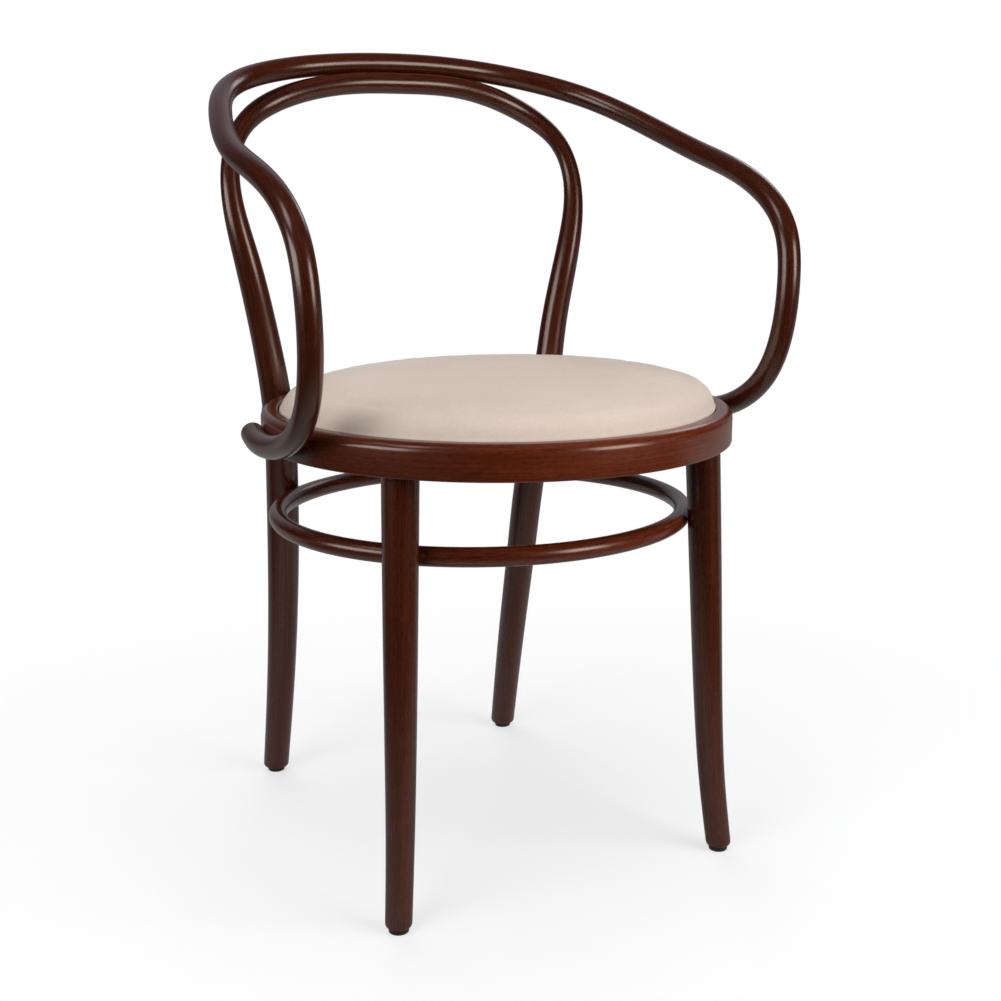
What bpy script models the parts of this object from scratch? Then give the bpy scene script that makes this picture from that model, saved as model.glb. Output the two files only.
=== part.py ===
"""Bentwood armchair with a round upholstered seat.

Metres, +Z up. The floor is Z = 0, the sitter faces -Y, and the chair is symmetric about X = 0.
Lengths below are measured from the seat's own vertical axis. One empty, the chair's root,
then sets that axis so that the origin lies under the middle of the chair's footprint.
Left and right are as seen from the front.
"""

import math

import bmesh
import bpy
import numpy as np
from mathutils import Matrix, Vector

# Fit between pieces that touch
CLEARANCE = 0.0003

# Seat ring, turned from a bent and glued hoop, with a rebate for the seat pad
SEAT_RADIUS = 0.220
SEAT_RING_BASE = 0.4035
SEAT_RING_HEIGHT = 0.031
SEAT_RING_WIDTH = 0.044
LEDGE_HEIGHT = 0.019
RIM_WIDTH = 0.0155
RIM_ROUND = 0.008
RING_EASE = 0.0015

# Seat pad: board, foam and cover
PAD_GAP = 0.001
FOAM_EDGE_HEIGHT = 0.020
PAD_EDGE_ROUND = 0.0195
PAD_CROWN = 0.012
PAD_DRAW_IN = 0.0015
BOARD_THICKNESS = 0.009
COVER_THICKNESS = 0.0014
HEM_SETBACK = 0.008
DUST_COVER_THICKNESS = 0.0008

# Outer bow: the top of the back and both arms in one bent rod
BOW_DIAMETER = 0.0212
BOW_TOP = 0.753
BOW_OVERHANG = 0.0005
BOW_END_ROUND = 0.005
ARM_SPREAD = 0.0205
ARM_HEIGHT = 0.638
ARM_REST_FRONT = 0.063
ARM_REACH = 0.1305
ARM_MEET_ANGLE = 5.0
ARM_END_ANGLE = 14.0
ARM_END_RISE = 0.003
SADDLE_DEPTH = 0.0015

# Back frame: the inner arch and both back legs in one bent rod
ARCH_DIAMETER = 0.021
ARCH_TOUCH_ANGLE = 65.0
ARCH_HUG_X = 0.060
ARCH_HUG_SLACK = 0.0004
ARCH_INSET = 0.030
SHOULDER_DIAMETER = 0.0185
BACK_POST_DIAMETER = 0.0304
BACK_POST_ANGLE = 48.9
BACK_LEG_DIAMETER = 0.0324
BACK_FOOT_DIAMETER = 0.027
BACK_LEG_DRAW_IN = 0.0116
BACK_LEG_RAKE = 0.0759

# Front legs, each with a tenon in the seat ring
FRONT_LEG_ANGLE = 37.4
FRONT_LEG_SETBACK = 0.0045
FRONT_LEG_DIAMETER = 0.0324
FRONT_FOOT_DIAMETER = 0.024
FRONT_LEG_SPLAY = 0.0173
FRONT_LEG_RAKE = 0.021
TENON_DIAMETER = 0.020
TENON_LENGTH = 0.013

# Stretcher ring inside the four legs
STRETCHER_HEIGHT = 0.327
STRETCHER_DIAMETER = 0.0176
STRETCHER_INSET = 0.022

# Feet
GLIDE_DIAMETER = 0.018
GLIDE_HEIGHT = 0.0045
GLIDE_EASE = 0.0015
PIN_DIAMETER = 0.003
PIN_LENGTH = 0.014
FOOT_EASE = 0.003
LEG_END_LENGTH = 0.004

# Wood screws
SCREW_DIAMETER = 0.0042
SCREW_HEAD_RIM = 0.0019
SCREW_HEAD_HEIGHT = 0.0026
SCREW_SINK = 0.0008
SCREW_BITE = 0.011
SCREW_TIP_DIAMETER = 0.0014
TOP_SCREW_X = 0.036
ARM_SCREW_SHARE = 0.67
SEAT_SCREW_ANGLES = (30.0, 150.0, 250.0, 290.0)
SEAT_SCREW_BITE = 0.006

# Bolts that hold the back posts to the seat ring
BOLT_DIAMETER = 0.006
BOLT_HEAD_RIM = 0.004
BOLT_HEAD_HEIGHT = 0.0045
BOLT_SINK = 0.002
BOLT_TAIL = 0.003
WASHER_RIM = 0.0042
WASHER_THICKNESS = 0.0015
NUT_WALL = 0.002
NUT_HEIGHT = 0.005

# Bent shapes, as shares of each rod's own span, depth and height
BOW_SWEEP = (
    (0.45, 0.007, 0.057),
    (0.715, 0.098, 0.18),
    (0.833, 0.21, 0.296),
    (0.928, 0.40, 0.488),
    (1.002, 0.70, 0.769),
)
ARM_CURL = ((0.919, 0.805), (1.0, 0.585), (0.82, 0.2), (0.36, 0.036))
ARCH_SWEEP = ((0.79, 1.05, 0.909), (0.939, 0.635, 0.828), (1.0, 0.32, 0.722))
POST_SWEEP = ((0.76, -0.01, 0.48), (0.31, 0.0, 0.24))
BACK_LEG_SWEEP = ((0.575, 0.17, 0.82), (0.957, 0.422, 0.545), (1.097, 0.70, 0.27))
FRONT_LEG_SWEEP = ((0.25, 0.666), (0.5, 0.333), (0.69, 0.167))

# How much of each leg's taper from full width to foot is left at those places
BACK_LEG_TAPER = (1.0, 0.9, 0.5)
FRONT_LEG_TAPER = (0.75, 0.37, 0.15)

# Facets
RING_STEPS = 60
PAD_STEPS = 36
ROD_SIDES = 12
SMALL_STEPS = 10
DISC_STEPS = 14
NUT_SIDES = 6
CORNER_STEPS = 3
BOW_POINTS = 75
BACK_POINTS = 79
LEG_POINTS = 16
STRETCHER_POINTS = 52
PAD_CROWN_SHARES = (0.0, 0.3, 0.55, 0.8)
PAD_EDGE_ANGLES = (85.0, 65.0, 45.0, 25.0, 8.0)
SMOOTH_ANGLE = 40.0
WELD = 1e-6
AXIS_MERGE = 1e-5
OVAL_ROUNDS = 80

# Turns a row of x, y, z and radius to the other side
MIRROR = np.array([-1.0, 1.0, 1.0, 1.0])

RING_TOP = SEAT_RING_BASE + SEAT_RING_HEIGHT
LEDGE_TOP = SEAT_RING_BASE + LEDGE_HEIGHT
JOINT_HEIGHT = SEAT_RING_BASE + LEDGE_HEIGHT / 2
RING_INNER = SEAT_RADIUS - SEAT_RING_WIDTH
WELL_RADIUS = SEAT_RADIUS - RIM_WIDTH
PAD_RADIUS = WELL_RADIUS - PAD_GAP
HEM_LOW = LEDGE_TOP + CLEARANCE
HEM_HIGH = HEM_LOW + COVER_THICKNESS
HEM_INNER = RING_INNER + HEM_SETBACK
BOARD_LOW = HEM_HIGH + CLEARANCE
BOARD_HIGH = BOARD_LOW + BOARD_THICKNESS
FOAM_LOW = BOARD_HIGH + CLEARANCE
LEG_FOOT_HEIGHT = GLIDE_HEIGHT + CLEARANCE
BOW_BACK = SEAT_RADIUS + BOW_OVERHANG
ARCH_HALF_SPAN = SEAT_RADIUS - ARCH_INSET

# Finishes: colour, roughness and metalness
WALNUT = (0.075, 0.022, 0.013), 0.35, 0.0
LEATHER = (0.72, 0.60, 0.51), 0.5, 0.0
FOAM = (0.86, 0.80, 0.62), 0.9, 0.0
PLYWOOD = (0.58, 0.40, 0.23), 0.7, 0.0
DARK_CLOTH = (0.02, 0.02, 0.022), 0.95, 0.0
STEEL = (0.55, 0.55, 0.56), 0.35, 1.0
DARK_PLASTIC = (0.03, 0.024, 0.022), 0.5, 0.0


def clear_scene():
    for obj in list(bpy.data.objects):
        bpy.data.objects.remove(obj)


def new_collection(name):
    collection = bpy.data.collections.new(name)
    bpy.context.scene.collection.children.link(collection)
    return collection


clear_scene()
PARTS = new_collection("bentwood_armchair")
CUTTERS = new_collection("cutters")
ROOT = bpy.data.objects.new("chair_root", None)
PARTS.objects.link(ROOT)


def finish(obj, look):
    colour, roughness, metalness = look
    material = bpy.data.materials.new(obj.name + "_finish")
    material.use_nodes = True
    shader = material.node_tree.nodes["Principled BSDF"]
    shader.inputs["Base Color"].default_value = (*colour, 1.0)
    shader.inputs["Roughness"].default_value = roughness
    shader.inputs["Metallic"].default_value = metalness
    obj.data.materials.append(material)
    return obj


def add_object(name, mesh, frame=None, collection=None):
    obj = bpy.data.objects.new(name, mesh)
    (collection or PARTS).objects.link(obj)
    obj.parent = ROOT
    obj.matrix_local = frame or Matrix.Identity(4)
    return obj


def turned(name, profile, steps, frame=None, closed=False, collection=None):
    """A body turned about its own Z axis. The profile runs down its outer side."""
    count = len(profile)
    edges = [(i, i + 1) for i in range(count - 1)]
    if closed:
        edges.append((count - 1, 0))
    mesh = bpy.data.meshes.new(name)
    mesh.from_pydata([(r, 0.0, z) for r, z in profile], edges, [])
    obj = add_object(name, mesh, frame, collection)
    screw = obj.modifiers.new("turn", "SCREW")
    screw.steps = steps
    screw.render_steps = steps
    screw.use_merge_vertices = True
    screw.merge_threshold = AXIS_MERGE
    return obj


def cutter(name, profile, steps, frame=None):
    obj = turned(name, profile, steps, frame, collection=CUTTERS)
    obj.hide_render = True
    obj.display_type = "WIRE"
    return obj


def cut(tool, *pieces):
    for piece in pieces:
        boolean = piece.modifiers.new("cut_" + tool.name, "BOOLEAN")
        boolean.operation = "DIFFERENCE"
        boolean.solver = "EXACT"
        boolean.object = tool


def rod(name, path, cyclic=False):
    """A round rod along path, whose rows are x, y, z and radius."""
    curve = bpy.data.curves.new(name, "CURVE")
    curve.dimensions = "3D"
    curve.bevel_depth = 1.0
    curve.bevel_resolution = ROD_SIDES // 2 - 2
    curve.use_fill_caps = True
    spline = curve.splines.new("POLY")
    spline.points.add(len(path) - 1)
    spline.use_cyclic_u = cyclic
    for point, (x, y, z, radius) in zip(spline.points, path):
        point.co = (x, y, z, 1.0)
        point.radius = radius
    guide = bpy.data.objects.new(name + "_guide", curve)
    PARTS.objects.link(guide)
    graph = bpy.context.evaluated_depsgraph_get()
    mesh = bpy.data.meshes.new_from_object(guide.evaluated_get(graph))
    bpy.data.objects.remove(guide)
    shell = bmesh.new()
    shell.from_mesh(mesh)
    bmesh.ops.remove_doubles(shell, verts=shell.verts, dist=WELD)
    bmesh.ops.recalc_face_normals(shell, faces=shell.faces)
    shell.to_mesh(mesh)
    shell.free()
    mesh.shade_smooth()
    mesh.set_sharp_from_angle(angle=math.radians(SMOOTH_ANGLE))
    mesh.name = name
    return finish(add_object(name, mesh), WALNUT)


def through(stations, count):
    """A natural cubic spline through the stations, read at count even steps along it."""
    stations = np.array(stations, dtype=float)
    spans = np.linalg.norm(np.diff(stations[:, :3], axis=0), axis=1)
    places = np.concatenate([[0.0], np.cumsum(spans)])
    slopes = np.diff(stations, axis=0) / spans[:, None]
    last = len(stations) - 1
    system = np.eye(last + 1)
    target = np.zeros_like(stations)
    for i in range(1, last):
        system[i, i - 1:i + 2] = spans[i - 1], 2 * (spans[i - 1] + spans[i]), spans[i]
        target[i] = 6 * (slopes[i] - slopes[i - 1])
    bends = np.linalg.solve(system, target)
    rows = []
    for place in np.linspace(0.0, places[-1], count):
        i = min(int(np.searchsorted(places, place, side="right")) - 1, last - 1)
        h = spans[i]
        a = (places[i + 1] - place) / h
        b = 1.0 - a
        curve = (a**3 - a) * bends[i] + (b**3 - b) * bends[i + 1]
        rows.append(a * stations[i] + b * stations[i + 1] + curve * h * h / 6)
    return np.array(rows)


def mirrored(half):
    """Stations of a whole rod from those of its +X half, which starts in the middle."""
    left = [(-x, y, z, radius) for x, y, z, radius in reversed(half[1:])]
    return left + list(half)


def on_ring(radius, degrees, height):
    angle = math.radians(degrees)
    return Vector((radius * math.cos(angle), radius * math.sin(angle), height))


def along(start, outward):
    """A frame at start whose Z axis points outward."""
    turn = Vector(outward).to_track_quat("Z", "Y").to_matrix().to_4x4()
    return Matrix.Translation(start) @ turn


def corner():
    """Angles of a rounded corner from level to upright."""
    return np.linspace(0.0, math.pi / 2, CORNER_STEPS + 1)


def at_height(path, height):
    """The lowest point of a descending path at a height, as x, y, z and radius."""
    rows = path[::-1]
    return np.array([np.interp(height, rows[:, 2], column) for column in rows.T])


def at_side(path, x):
    """The point of a symmetric rod at a small X, on its run outward from the middle."""
    right = path[len(path) // 2:]
    run = right[:int(np.argmax(right[:, 0])) + 1]
    return np.array([np.interp(x, run[:, 0], column) for column in run.T])


def bow_half():
    radius = BOW_DIAMETER / 2
    span = SEAT_RADIUS + ARM_SPREAD
    depth = BOW_BACK + ARM_REST_FRONT
    drop = BOW_TOP - ARM_HEIGHT
    rise = ARM_HEIGHT - JOINT_HEIGHT
    seat = SEAT_RADIUS + radius - SADDLE_DEPTH
    rows = [(0.0, BOW_BACK, BOW_TOP, radius)]
    for across, forward, down in BOW_SWEEP:
        rows.append((span * across, BOW_BACK - depth * forward, BOW_TOP - drop * down, radius))
    rows.append((span, -ARM_REST_FRONT, ARM_HEIGHT, radius))
    for forward, up in ARM_CURL:
        across = seat + (span - seat) * up
        rows.append((across, -ARM_REACH * forward, JOINT_HEIGHT + rise * up, radius))
    rows.append((*on_ring(seat, ARM_MEET_ANGLE, JOINT_HEIGHT), radius))
    rows.append((*on_ring(seat, ARM_END_ANGLE, JOINT_HEIGHT + ARM_END_RISE), radius))
    return rows


def rounded_ends(path, reach):
    """The path with its two flat ends rounded over the last stretch."""
    tail = path[-1]
    way = tail[:3] - path[-2][:3]
    way = way / np.linalg.norm(way)
    rows = [row for row in path[1:-1]]
    for angle in corner():
        back = reach * (1.0 - math.sin(angle))
        radius = tail[3] - reach * (1.0 - math.cos(angle))
        rows.append(np.array([*(tail[:3] - way * back), radius]))
        rows.insert(0, rows[-1] * MIRROR)
    return np.array(rows)


def touch_offset(slack=0.0):
    """From the bow's centre line down and forward to the arch that it rests on."""
    angle = math.radians(ARCH_TOUCH_ANGLE)
    reach = (BOW_DIAMETER + ARCH_DIAMETER) / 2 + CLEARANCE + slack
    return Vector((0.0, -reach * math.cos(angle), -reach * math.sin(angle)))


def back_post():
    """The middle of the right back post, where it is bolted to the seat ring."""
    reach = SEAT_RADIUS + BACK_POST_DIAMETER / 2 - SADDLE_DEPTH
    return on_ring(reach, BACK_POST_ANGLE, JOINT_HEIGHT)


def back_foot():
    """Where the right back leg stands, from the post above it."""
    post = back_post()
    return post.x - BACK_LEG_DRAW_IN, post.y + BACK_LEG_RAKE


def front_top():
    """The middle of the right front leg, just under the seat ring."""
    reach = (SEAT_RADIUS + RING_INNER) / 2 - FRONT_LEG_SETBACK
    return on_ring(reach, -FRONT_LEG_ANGLE, SEAT_RING_BASE - CLEARANCE - LEG_END_LENGTH)


def front_foot():
    """Where the right front leg stands, from its own top."""
    top = front_top()
    return top.x + FRONT_LEG_SPLAY, top.y - FRONT_LEG_RAKE


def back_half(bow_path):
    top = Vector((0.0, BOW_BACK, BOW_TOP)) + touch_offset()
    hug = Vector(at_side(bow_path, ARCH_HUG_X)[:3]) + touch_offset(ARCH_HUG_SLACK)
    post_radius = BACK_POST_DIAMETER / 2
    post = back_post()
    foot_x, foot_y = back_foot()
    thin, shoulder = ARCH_DIAMETER / 2, SHOULDER_DIAMETER / 2
    rows = [(*top, thin), (*hug, thin)]
    for (across, back, up), radius in zip(ARCH_SWEEP, (thin, shoulder, shoulder)):
        y = post.y + (top.y - post.y) * back
        z = post.z + (top.z - post.z) * up
        rows.append((ARCH_HALF_SPAN * across, y, z, radius))
    for across, back, up in POST_SWEEP:
        x = post.x + (ARCH_HALF_SPAN - post.x) * across
        y = post.y + (top.y - post.y) * back
        z = post.z + (top.z - post.z) * up
        rows.append((x, y, z, post_radius + (shoulder - post_radius) * up))
    rows.append((*post, post_radius))
    leg_radius, foot_radius = BACK_LEG_DIAMETER / 2, BACK_FOOT_DIAMETER / 2
    foot_z = LEG_FOOT_HEIGHT + LEG_END_LENGTH
    for (across, back, up), share in zip(BACK_LEG_SWEEP, BACK_LEG_TAPER):
        x = post.x + (foot_x - post.x) * across
        y = post.y + (foot_y - post.y) * back
        z = foot_z + (post.z - foot_z) * up
        rows.append((x, y, z, foot_radius + (leg_radius - foot_radius) * share))
    rows.append((foot_x, foot_y, foot_z, foot_radius))
    return rows


def front_stations():
    top = front_top()
    foot_x, foot_y = front_foot()
    leg_radius, foot_radius = FRONT_LEG_DIAMETER / 2, FRONT_FOOT_DIAMETER / 2
    foot_z = LEG_FOOT_HEIGHT + LEG_END_LENGTH
    rows = [(*top, leg_radius)]
    for (out, up), share in zip(FRONT_LEG_SWEEP, FRONT_LEG_TAPER):
        x = top.x + (foot_x - top.x) * out
        y = top.y + (foot_y - top.y) * out
        z = foot_z + (top.z - foot_z) * up
        rows.append((x, y, z, foot_radius + (leg_radius - foot_radius) * share))
    rows.append((foot_x, foot_y, foot_z, foot_radius))
    return rows


def with_foot(path):
    """The path with the short upright end that stands on the glide."""
    x, y, z, radius = path[-1]
    return np.vstack([path, (x, y, LEG_FOOT_HEIGHT, radius - FOOT_EASE)])


def with_tenon(path):
    """The path with a square shoulder under the ring and a tenon in it."""
    x, y, z, radius = path[0]
    shoulder = SEAT_RING_BASE - CLEARANCE
    tenon = TENON_DIAMETER / 2
    step = CLEARANCE / 3
    top = [
        (x, y, shoulder + TENON_LENGTH, tenon),
        (x, y, shoulder + step, tenon),
        (x, y, shoulder, radius),
    ]
    return np.vstack([top, path])


def stretcher_oval(front, back):
    """Half depth and centre of the oval that touches a front and a back leg, and its contacts."""
    half_width = SEAT_RADIUS - STRETCHER_INSET
    legs = (front, back)
    reaches = [leg[3] + STRETCHER_DIAMETER / 2 + CLEARANCE for leg in legs]
    normals = [Vector((leg[0], leg[1])).normalized() for leg in legs]
    for _ in range(OVAL_ROUNDS):
        points = [Vector(leg[:2]) - n * reach for leg, n, reach in zip(legs, normals, reaches)]
        rises = [math.sqrt(1.0 - (point.x / half_width) ** 2) for point in points]
        half_depth = (points[1].y - points[0].y) / (rises[0] + rises[1])
        centre = points[1].y - half_depth * rises[1]
        slopes = (-rises[0] / half_depth, rises[1] / half_depth)
        normals = [Vector((p.x / half_width**2, s)).normalized() for p, s in zip(points, slopes)]
    return half_width, half_depth, centre, list(zip(points, normals))


def pad_outline(inset):
    """The pad's outer skin from its crown to the foot of its side, moved in by inset."""
    side = PAD_RADIUS - inset
    edge_top = FOAM_LOW + FOAM_EDGE_HEIGHT + CLEARANCE + COVER_THICKNESS - inset
    turn = min(PAD_EDGE_ROUND, FOAM_EDGE_HEIGHT) - inset
    flat = side - turn
    rows = []
    for share in PAD_CROWN_SHARES:
        rows.append((flat * share, edge_top + PAD_CROWN * (1.0 - share**2)))
    for angle in np.radians(PAD_EDGE_ANGLES):
        rows.append((flat + turn * math.cos(angle), edge_top - turn + turn * math.sin(angle)))
    rows.append((side, BOARD_HIGH))
    return rows


def screw_profile(length, grow=0.0, lift=0.0):
    """A countersunk wood screw, head at Z = 0 and point below, or the hole that takes it."""
    shank = SCREW_DIAMETER / 2 + grow
    head = shank + SCREW_HEAD_RIM
    return [
        (0.0, lift),
        (head, lift),
        (head, -SCREW_SINK),
        (shank, -SCREW_HEAD_HEIGHT - grow),
        (shank, SCREW_DIAMETER - length),
        (SCREW_TIP_DIAMETER / 2, -length - grow),
        (0.0, -length - grow),
    ]


def add_screw(name, frame, length, *pieces):
    """A screw whose head is flush at the frame's origin, and its hole in each piece."""
    screw = turned(name, screw_profile(length), SMALL_STEPS, frame)
    opening = SCREW_DIAMETER + 2 * SCREW_HEAD_RIM
    hole = cutter(name + "_hole", screw_profile(length, CLEARANCE, opening), SMALL_STEPS, frame)
    cut(hole, *pieces)
    finish(screw, STEEL)


def disc_profile(radius, high, low):
    return [(0.0, high), (radius, high), (radius, low), (0.0, low)]


def tube_profile(inner, outer, length):
    return [(inner, 0.0), (outer, 0.0), (outer, -length), (inner, -length)]


def plain_hole(name, radius, depth, frame, *pieces):
    """A round hole from a little outside the frame's origin down to depth."""
    cut(cutter(name, disc_profile(radius, radius, -depth), DISC_STEPS, frame), *pieces)


def ring_profile():
    outer = SEAT_RADIUS - RIM_ROUND
    rows = [(WELL_RADIUS, RING_TOP)]
    for angle in corner()[::-1]:
        drop = RIM_ROUND * (1.0 - math.sin(angle))
        rows.append((outer + RIM_ROUND * math.cos(angle), RING_TOP - drop))
    rows += [
        (SEAT_RADIUS, SEAT_RING_BASE + RING_EASE),
        (SEAT_RADIUS - RING_EASE, SEAT_RING_BASE),
        (RING_INNER + RING_EASE, SEAT_RING_BASE),
        (RING_INNER, SEAT_RING_BASE + RING_EASE),
        (RING_INNER, LEDGE_TOP),
        (WELL_RADIUS, LEDGE_TOP),
    ]
    return rows


def add_pad():
    """The seat pad's four layers, resting on the ring's ledge."""
    board_radius = PAD_RADIUS - PAD_DRAW_IN - COVER_THICKNESS - CLEARANCE
    outer = pad_outline(0.0) + [(PAD_RADIUS - PAD_DRAW_IN, HEM_LOW)]
    inner = pad_outline(COVER_THICKNESS) + [(board_radius + CLEARANCE, HEM_HIGH)]
    cover_profile = outer + [(HEM_INNER, HEM_LOW), (HEM_INNER, HEM_HIGH)] + inner[::-1]
    cover = turned("seat_cover", cover_profile, PAD_STEPS)
    finish(cover, LEATHER)
    skin = pad_outline(COVER_THICKNESS + CLEARANCE)
    foam_profile = skin[:-1] + [(board_radius, FOAM_LOW), (0.0, FOAM_LOW)]
    finish(turned("seat_foam", foam_profile, PAD_STEPS), FOAM)
    board = turned("seat_board", disc_profile(board_radius, BOARD_HIGH, BOARD_LOW), PAD_STEPS)
    finish(board, PLYWOOD)
    cloth_high = BOARD_LOW - CLEARANCE
    cloth_low = cloth_high - DUST_COVER_THICKNESS
    cloth_profile = disc_profile(HEM_INNER - PAD_GAP, cloth_high, cloth_low)
    finish(turned("dust_cover", cloth_profile, PAD_STEPS), DARK_CLOTH)
    return board, cover


def add_glide(name, x, y, leg):
    disc, pin = GLIDE_DIAMETER / 2, PIN_DIAMETER / 2
    top = GLIDE_HEIGHT + PIN_LENGTH
    profile = [
        (0.0, top),
        (pin, top - PIN_DIAMETER),
        (pin, GLIDE_HEIGHT),
        (disc - GLIDE_EASE, GLIDE_HEIGHT),
        (disc, GLIDE_HEIGHT - GLIDE_EASE),
        (disc, GLIDE_EASE),
        (disc - GLIDE_EASE, 0.0),
        (0.0, 0.0),
    ]
    frame = Matrix.Translation((x, y, 0.0))
    finish(turned(name, profile, DISC_STEPS, frame), DARK_PLASTIC)
    depth = PIN_LENGTH + CLEARANCE
    upside_down = Matrix.Translation((x, y, GLIDE_HEIGHT)) @ Matrix.Rotation(math.pi, 4, "X")
    plain_hole(name + "_pin_hole", pin + CLEARANCE, depth, upside_down, leg)


def add_back_bolt(side, sign, post, ring, frame_rod):
    """A round-headed bolt through the back post and the ring, with its washer and nut inside."""
    outward = Vector((sign * post[0], post[1], 0.0)).normalized()
    middle = Vector((0.0, 0.0, JOINT_HEIGHT))
    shank = BOLT_DIAMETER / 2
    head, bore = shank + BOLT_HEAD_RIM, shank + CLEARANCE
    rim = bore + WASHER_RIM
    surface = math.hypot(post[0], post[1]) + post[3] * math.cos(math.pi / ROD_SIDES)
    seat = surface - BOLT_SINK
    washer_face = RING_INNER * math.cos(math.pi / RING_STEPS) - CLEARANCE
    washer_face = math.sqrt(washer_face**2 - rim**2)
    nut_face = washer_face - WASHER_THICKNESS - CLEARANCE
    length = seat - nut_face + NUT_HEIGHT + BOLT_TAIL
    frame = along(outward * seat + middle, outward)
    profile = [(head * math.cos(turn), BOLT_HEAD_HEIGHT * math.sin(turn)) for turn in corner()[::-1]]
    profile += [(shank, 0.0), (shank, -length), (0.0, -length)]
    finish(turned(f"back_bolt_{side}", profile, DISC_STEPS, frame), STEEL)
    recess, opening, depth = head + CLEARANCE, 2 * head, length + BOLT_TAIL
    hole_profile = [
        (0.0, opening),
        (recess, opening),
        (recess, -CLEARANCE),
        (bore, -CLEARANCE),
        (bore, -depth),
        (0.0, -depth),
    ]
    cut(cutter(f"back_bolt_{side}_hole", hole_profile, DISC_STEPS, frame), ring, frame_rod)
    washer = turned(
        f"back_washer_{side}",
        tube_profile(bore, rim, WASHER_THICKNESS),
        DISC_STEPS,
        along(outward * washer_face + middle, outward),
        closed=True,
    )
    finish(washer, STEEL)
    thread = bore / math.cos(math.pi / NUT_SIDES)
    nut = turned(
        f"back_nut_{side}",
        tube_profile(thread, thread + NUT_WALL, NUT_HEIGHT),
        NUT_SIDES,
        along(outward * nut_face + middle, outward),
        closed=True,
    )
    finish(nut, STEEL)


def add_top_screws(bow, back_frame, bow_path):
    """Screws down through the bow into the arch, either side of the middle."""
    inward = touch_offset().normalized()
    x, y, z, radius = at_side(bow_path, TOP_SCREW_X)
    surface = radius * math.cos(math.pi / ROD_SIDES) - SCREW_SINK
    length = surface + BOW_DIAMETER / 2 + SCREW_BITE
    for side, sign in (("left", -1.0), ("right", 1.0)):
        start = Vector((sign * x, y, z)) - inward * surface
        add_screw(f"top_screw_{side}", along(start, -inward), length, bow, back_frame)


def add_arm_screws(ring, bow):
    """Two screws a side, from inside the seat ring into the end of the arm."""
    head_face = RING_INNER * math.cos(math.pi / RING_STEPS) + SCREW_SINK
    length = SEAT_RADIUS - head_face + SCREW_BITE
    rear = ARM_MEET_ANGLE + (ARM_END_ANGLE - ARM_MEET_ANGLE) * ARM_SCREW_SHARE
    for side, sign in (("left", -1.0), ("right", 1.0)):
        for place, degrees in (("front", ARM_MEET_ANGLE), ("rear", rear)):
            start = on_ring(head_face, degrees, JOINT_HEIGHT)
            start.x *= sign
            inward = Vector((-start.x, -start.y, 0.0))
            add_screw(f"arm_screw_{side}_{place}", along(start, inward), length, ring, bow)


def add_seat_screws(ring, board, cover):
    """Screws up through the ring's ledge into the seat board."""
    radius = (HEM_INNER + WELL_RADIUS) / 2
    length = BOARD_LOW - SEAT_RING_BASE + SEAT_SCREW_BITE
    for number, degrees in enumerate(SEAT_SCREW_ANGLES, start=1):
        start = on_ring(radius, degrees, SEAT_RING_BASE + SCREW_SINK)
        add_screw(f"seat_screw_{number}", along(start, (0, 0, -1)), length, ring, board, cover)


def add_stretcher(front_path, back_path, back_frame, front_legs):
    """The oval ring that ties the four legs, and a screw from it into each leg."""
    front = at_height(front_path, STRETCHER_HEIGHT)
    back = at_height(back_path, STRETCHER_HEIGHT)
    half_width, half_depth, centre, contacts = stretcher_oval(front, back)
    path = []
    for turn in np.linspace(0.0, 2 * math.pi, STRETCHER_POINTS, endpoint=False):
        x, y = half_width * math.cos(turn), centre + half_depth * math.sin(turn)
        path.append((x, y, STRETCHER_HEIGHT, STRETCHER_DIAMETER / 2))
    stretcher = rod("stretcher_ring", path, cyclic=True)
    surface = STRETCHER_DIAMETER / 2 * math.cos(math.pi / ROD_SIDES) - SCREW_SINK
    length = surface + STRETCHER_DIAMETER / 2 + SCREW_BITE
    for side, sign in (("left", -1.0), ("right", 1.0)):
        legs = (front_legs[side], back_frame)
        for (point, normal), leg, place in zip(contacts, legs, ("front", "back")):
            outward = Vector((sign * normal.x, normal.y, 0.0))
            start = Vector((sign * point.x, point.y, STRETCHER_HEIGHT)) - outward * surface
            name = f"stretcher_screw_{place}_{side}"
            add_screw(name, along(start, -outward), length, stretcher, leg)


def saddle_envelope():
    """The space that the seat ring takes, which the rods beside it are notched to fit."""
    radius = SEAT_RADIUS + CLEARANCE
    low, high = SEAT_RING_BASE - RIM_ROUND, RING_TOP + RIM_ROUND
    return cutter("ring_space", disc_profile(radius, high, low), RING_STEPS)


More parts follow.
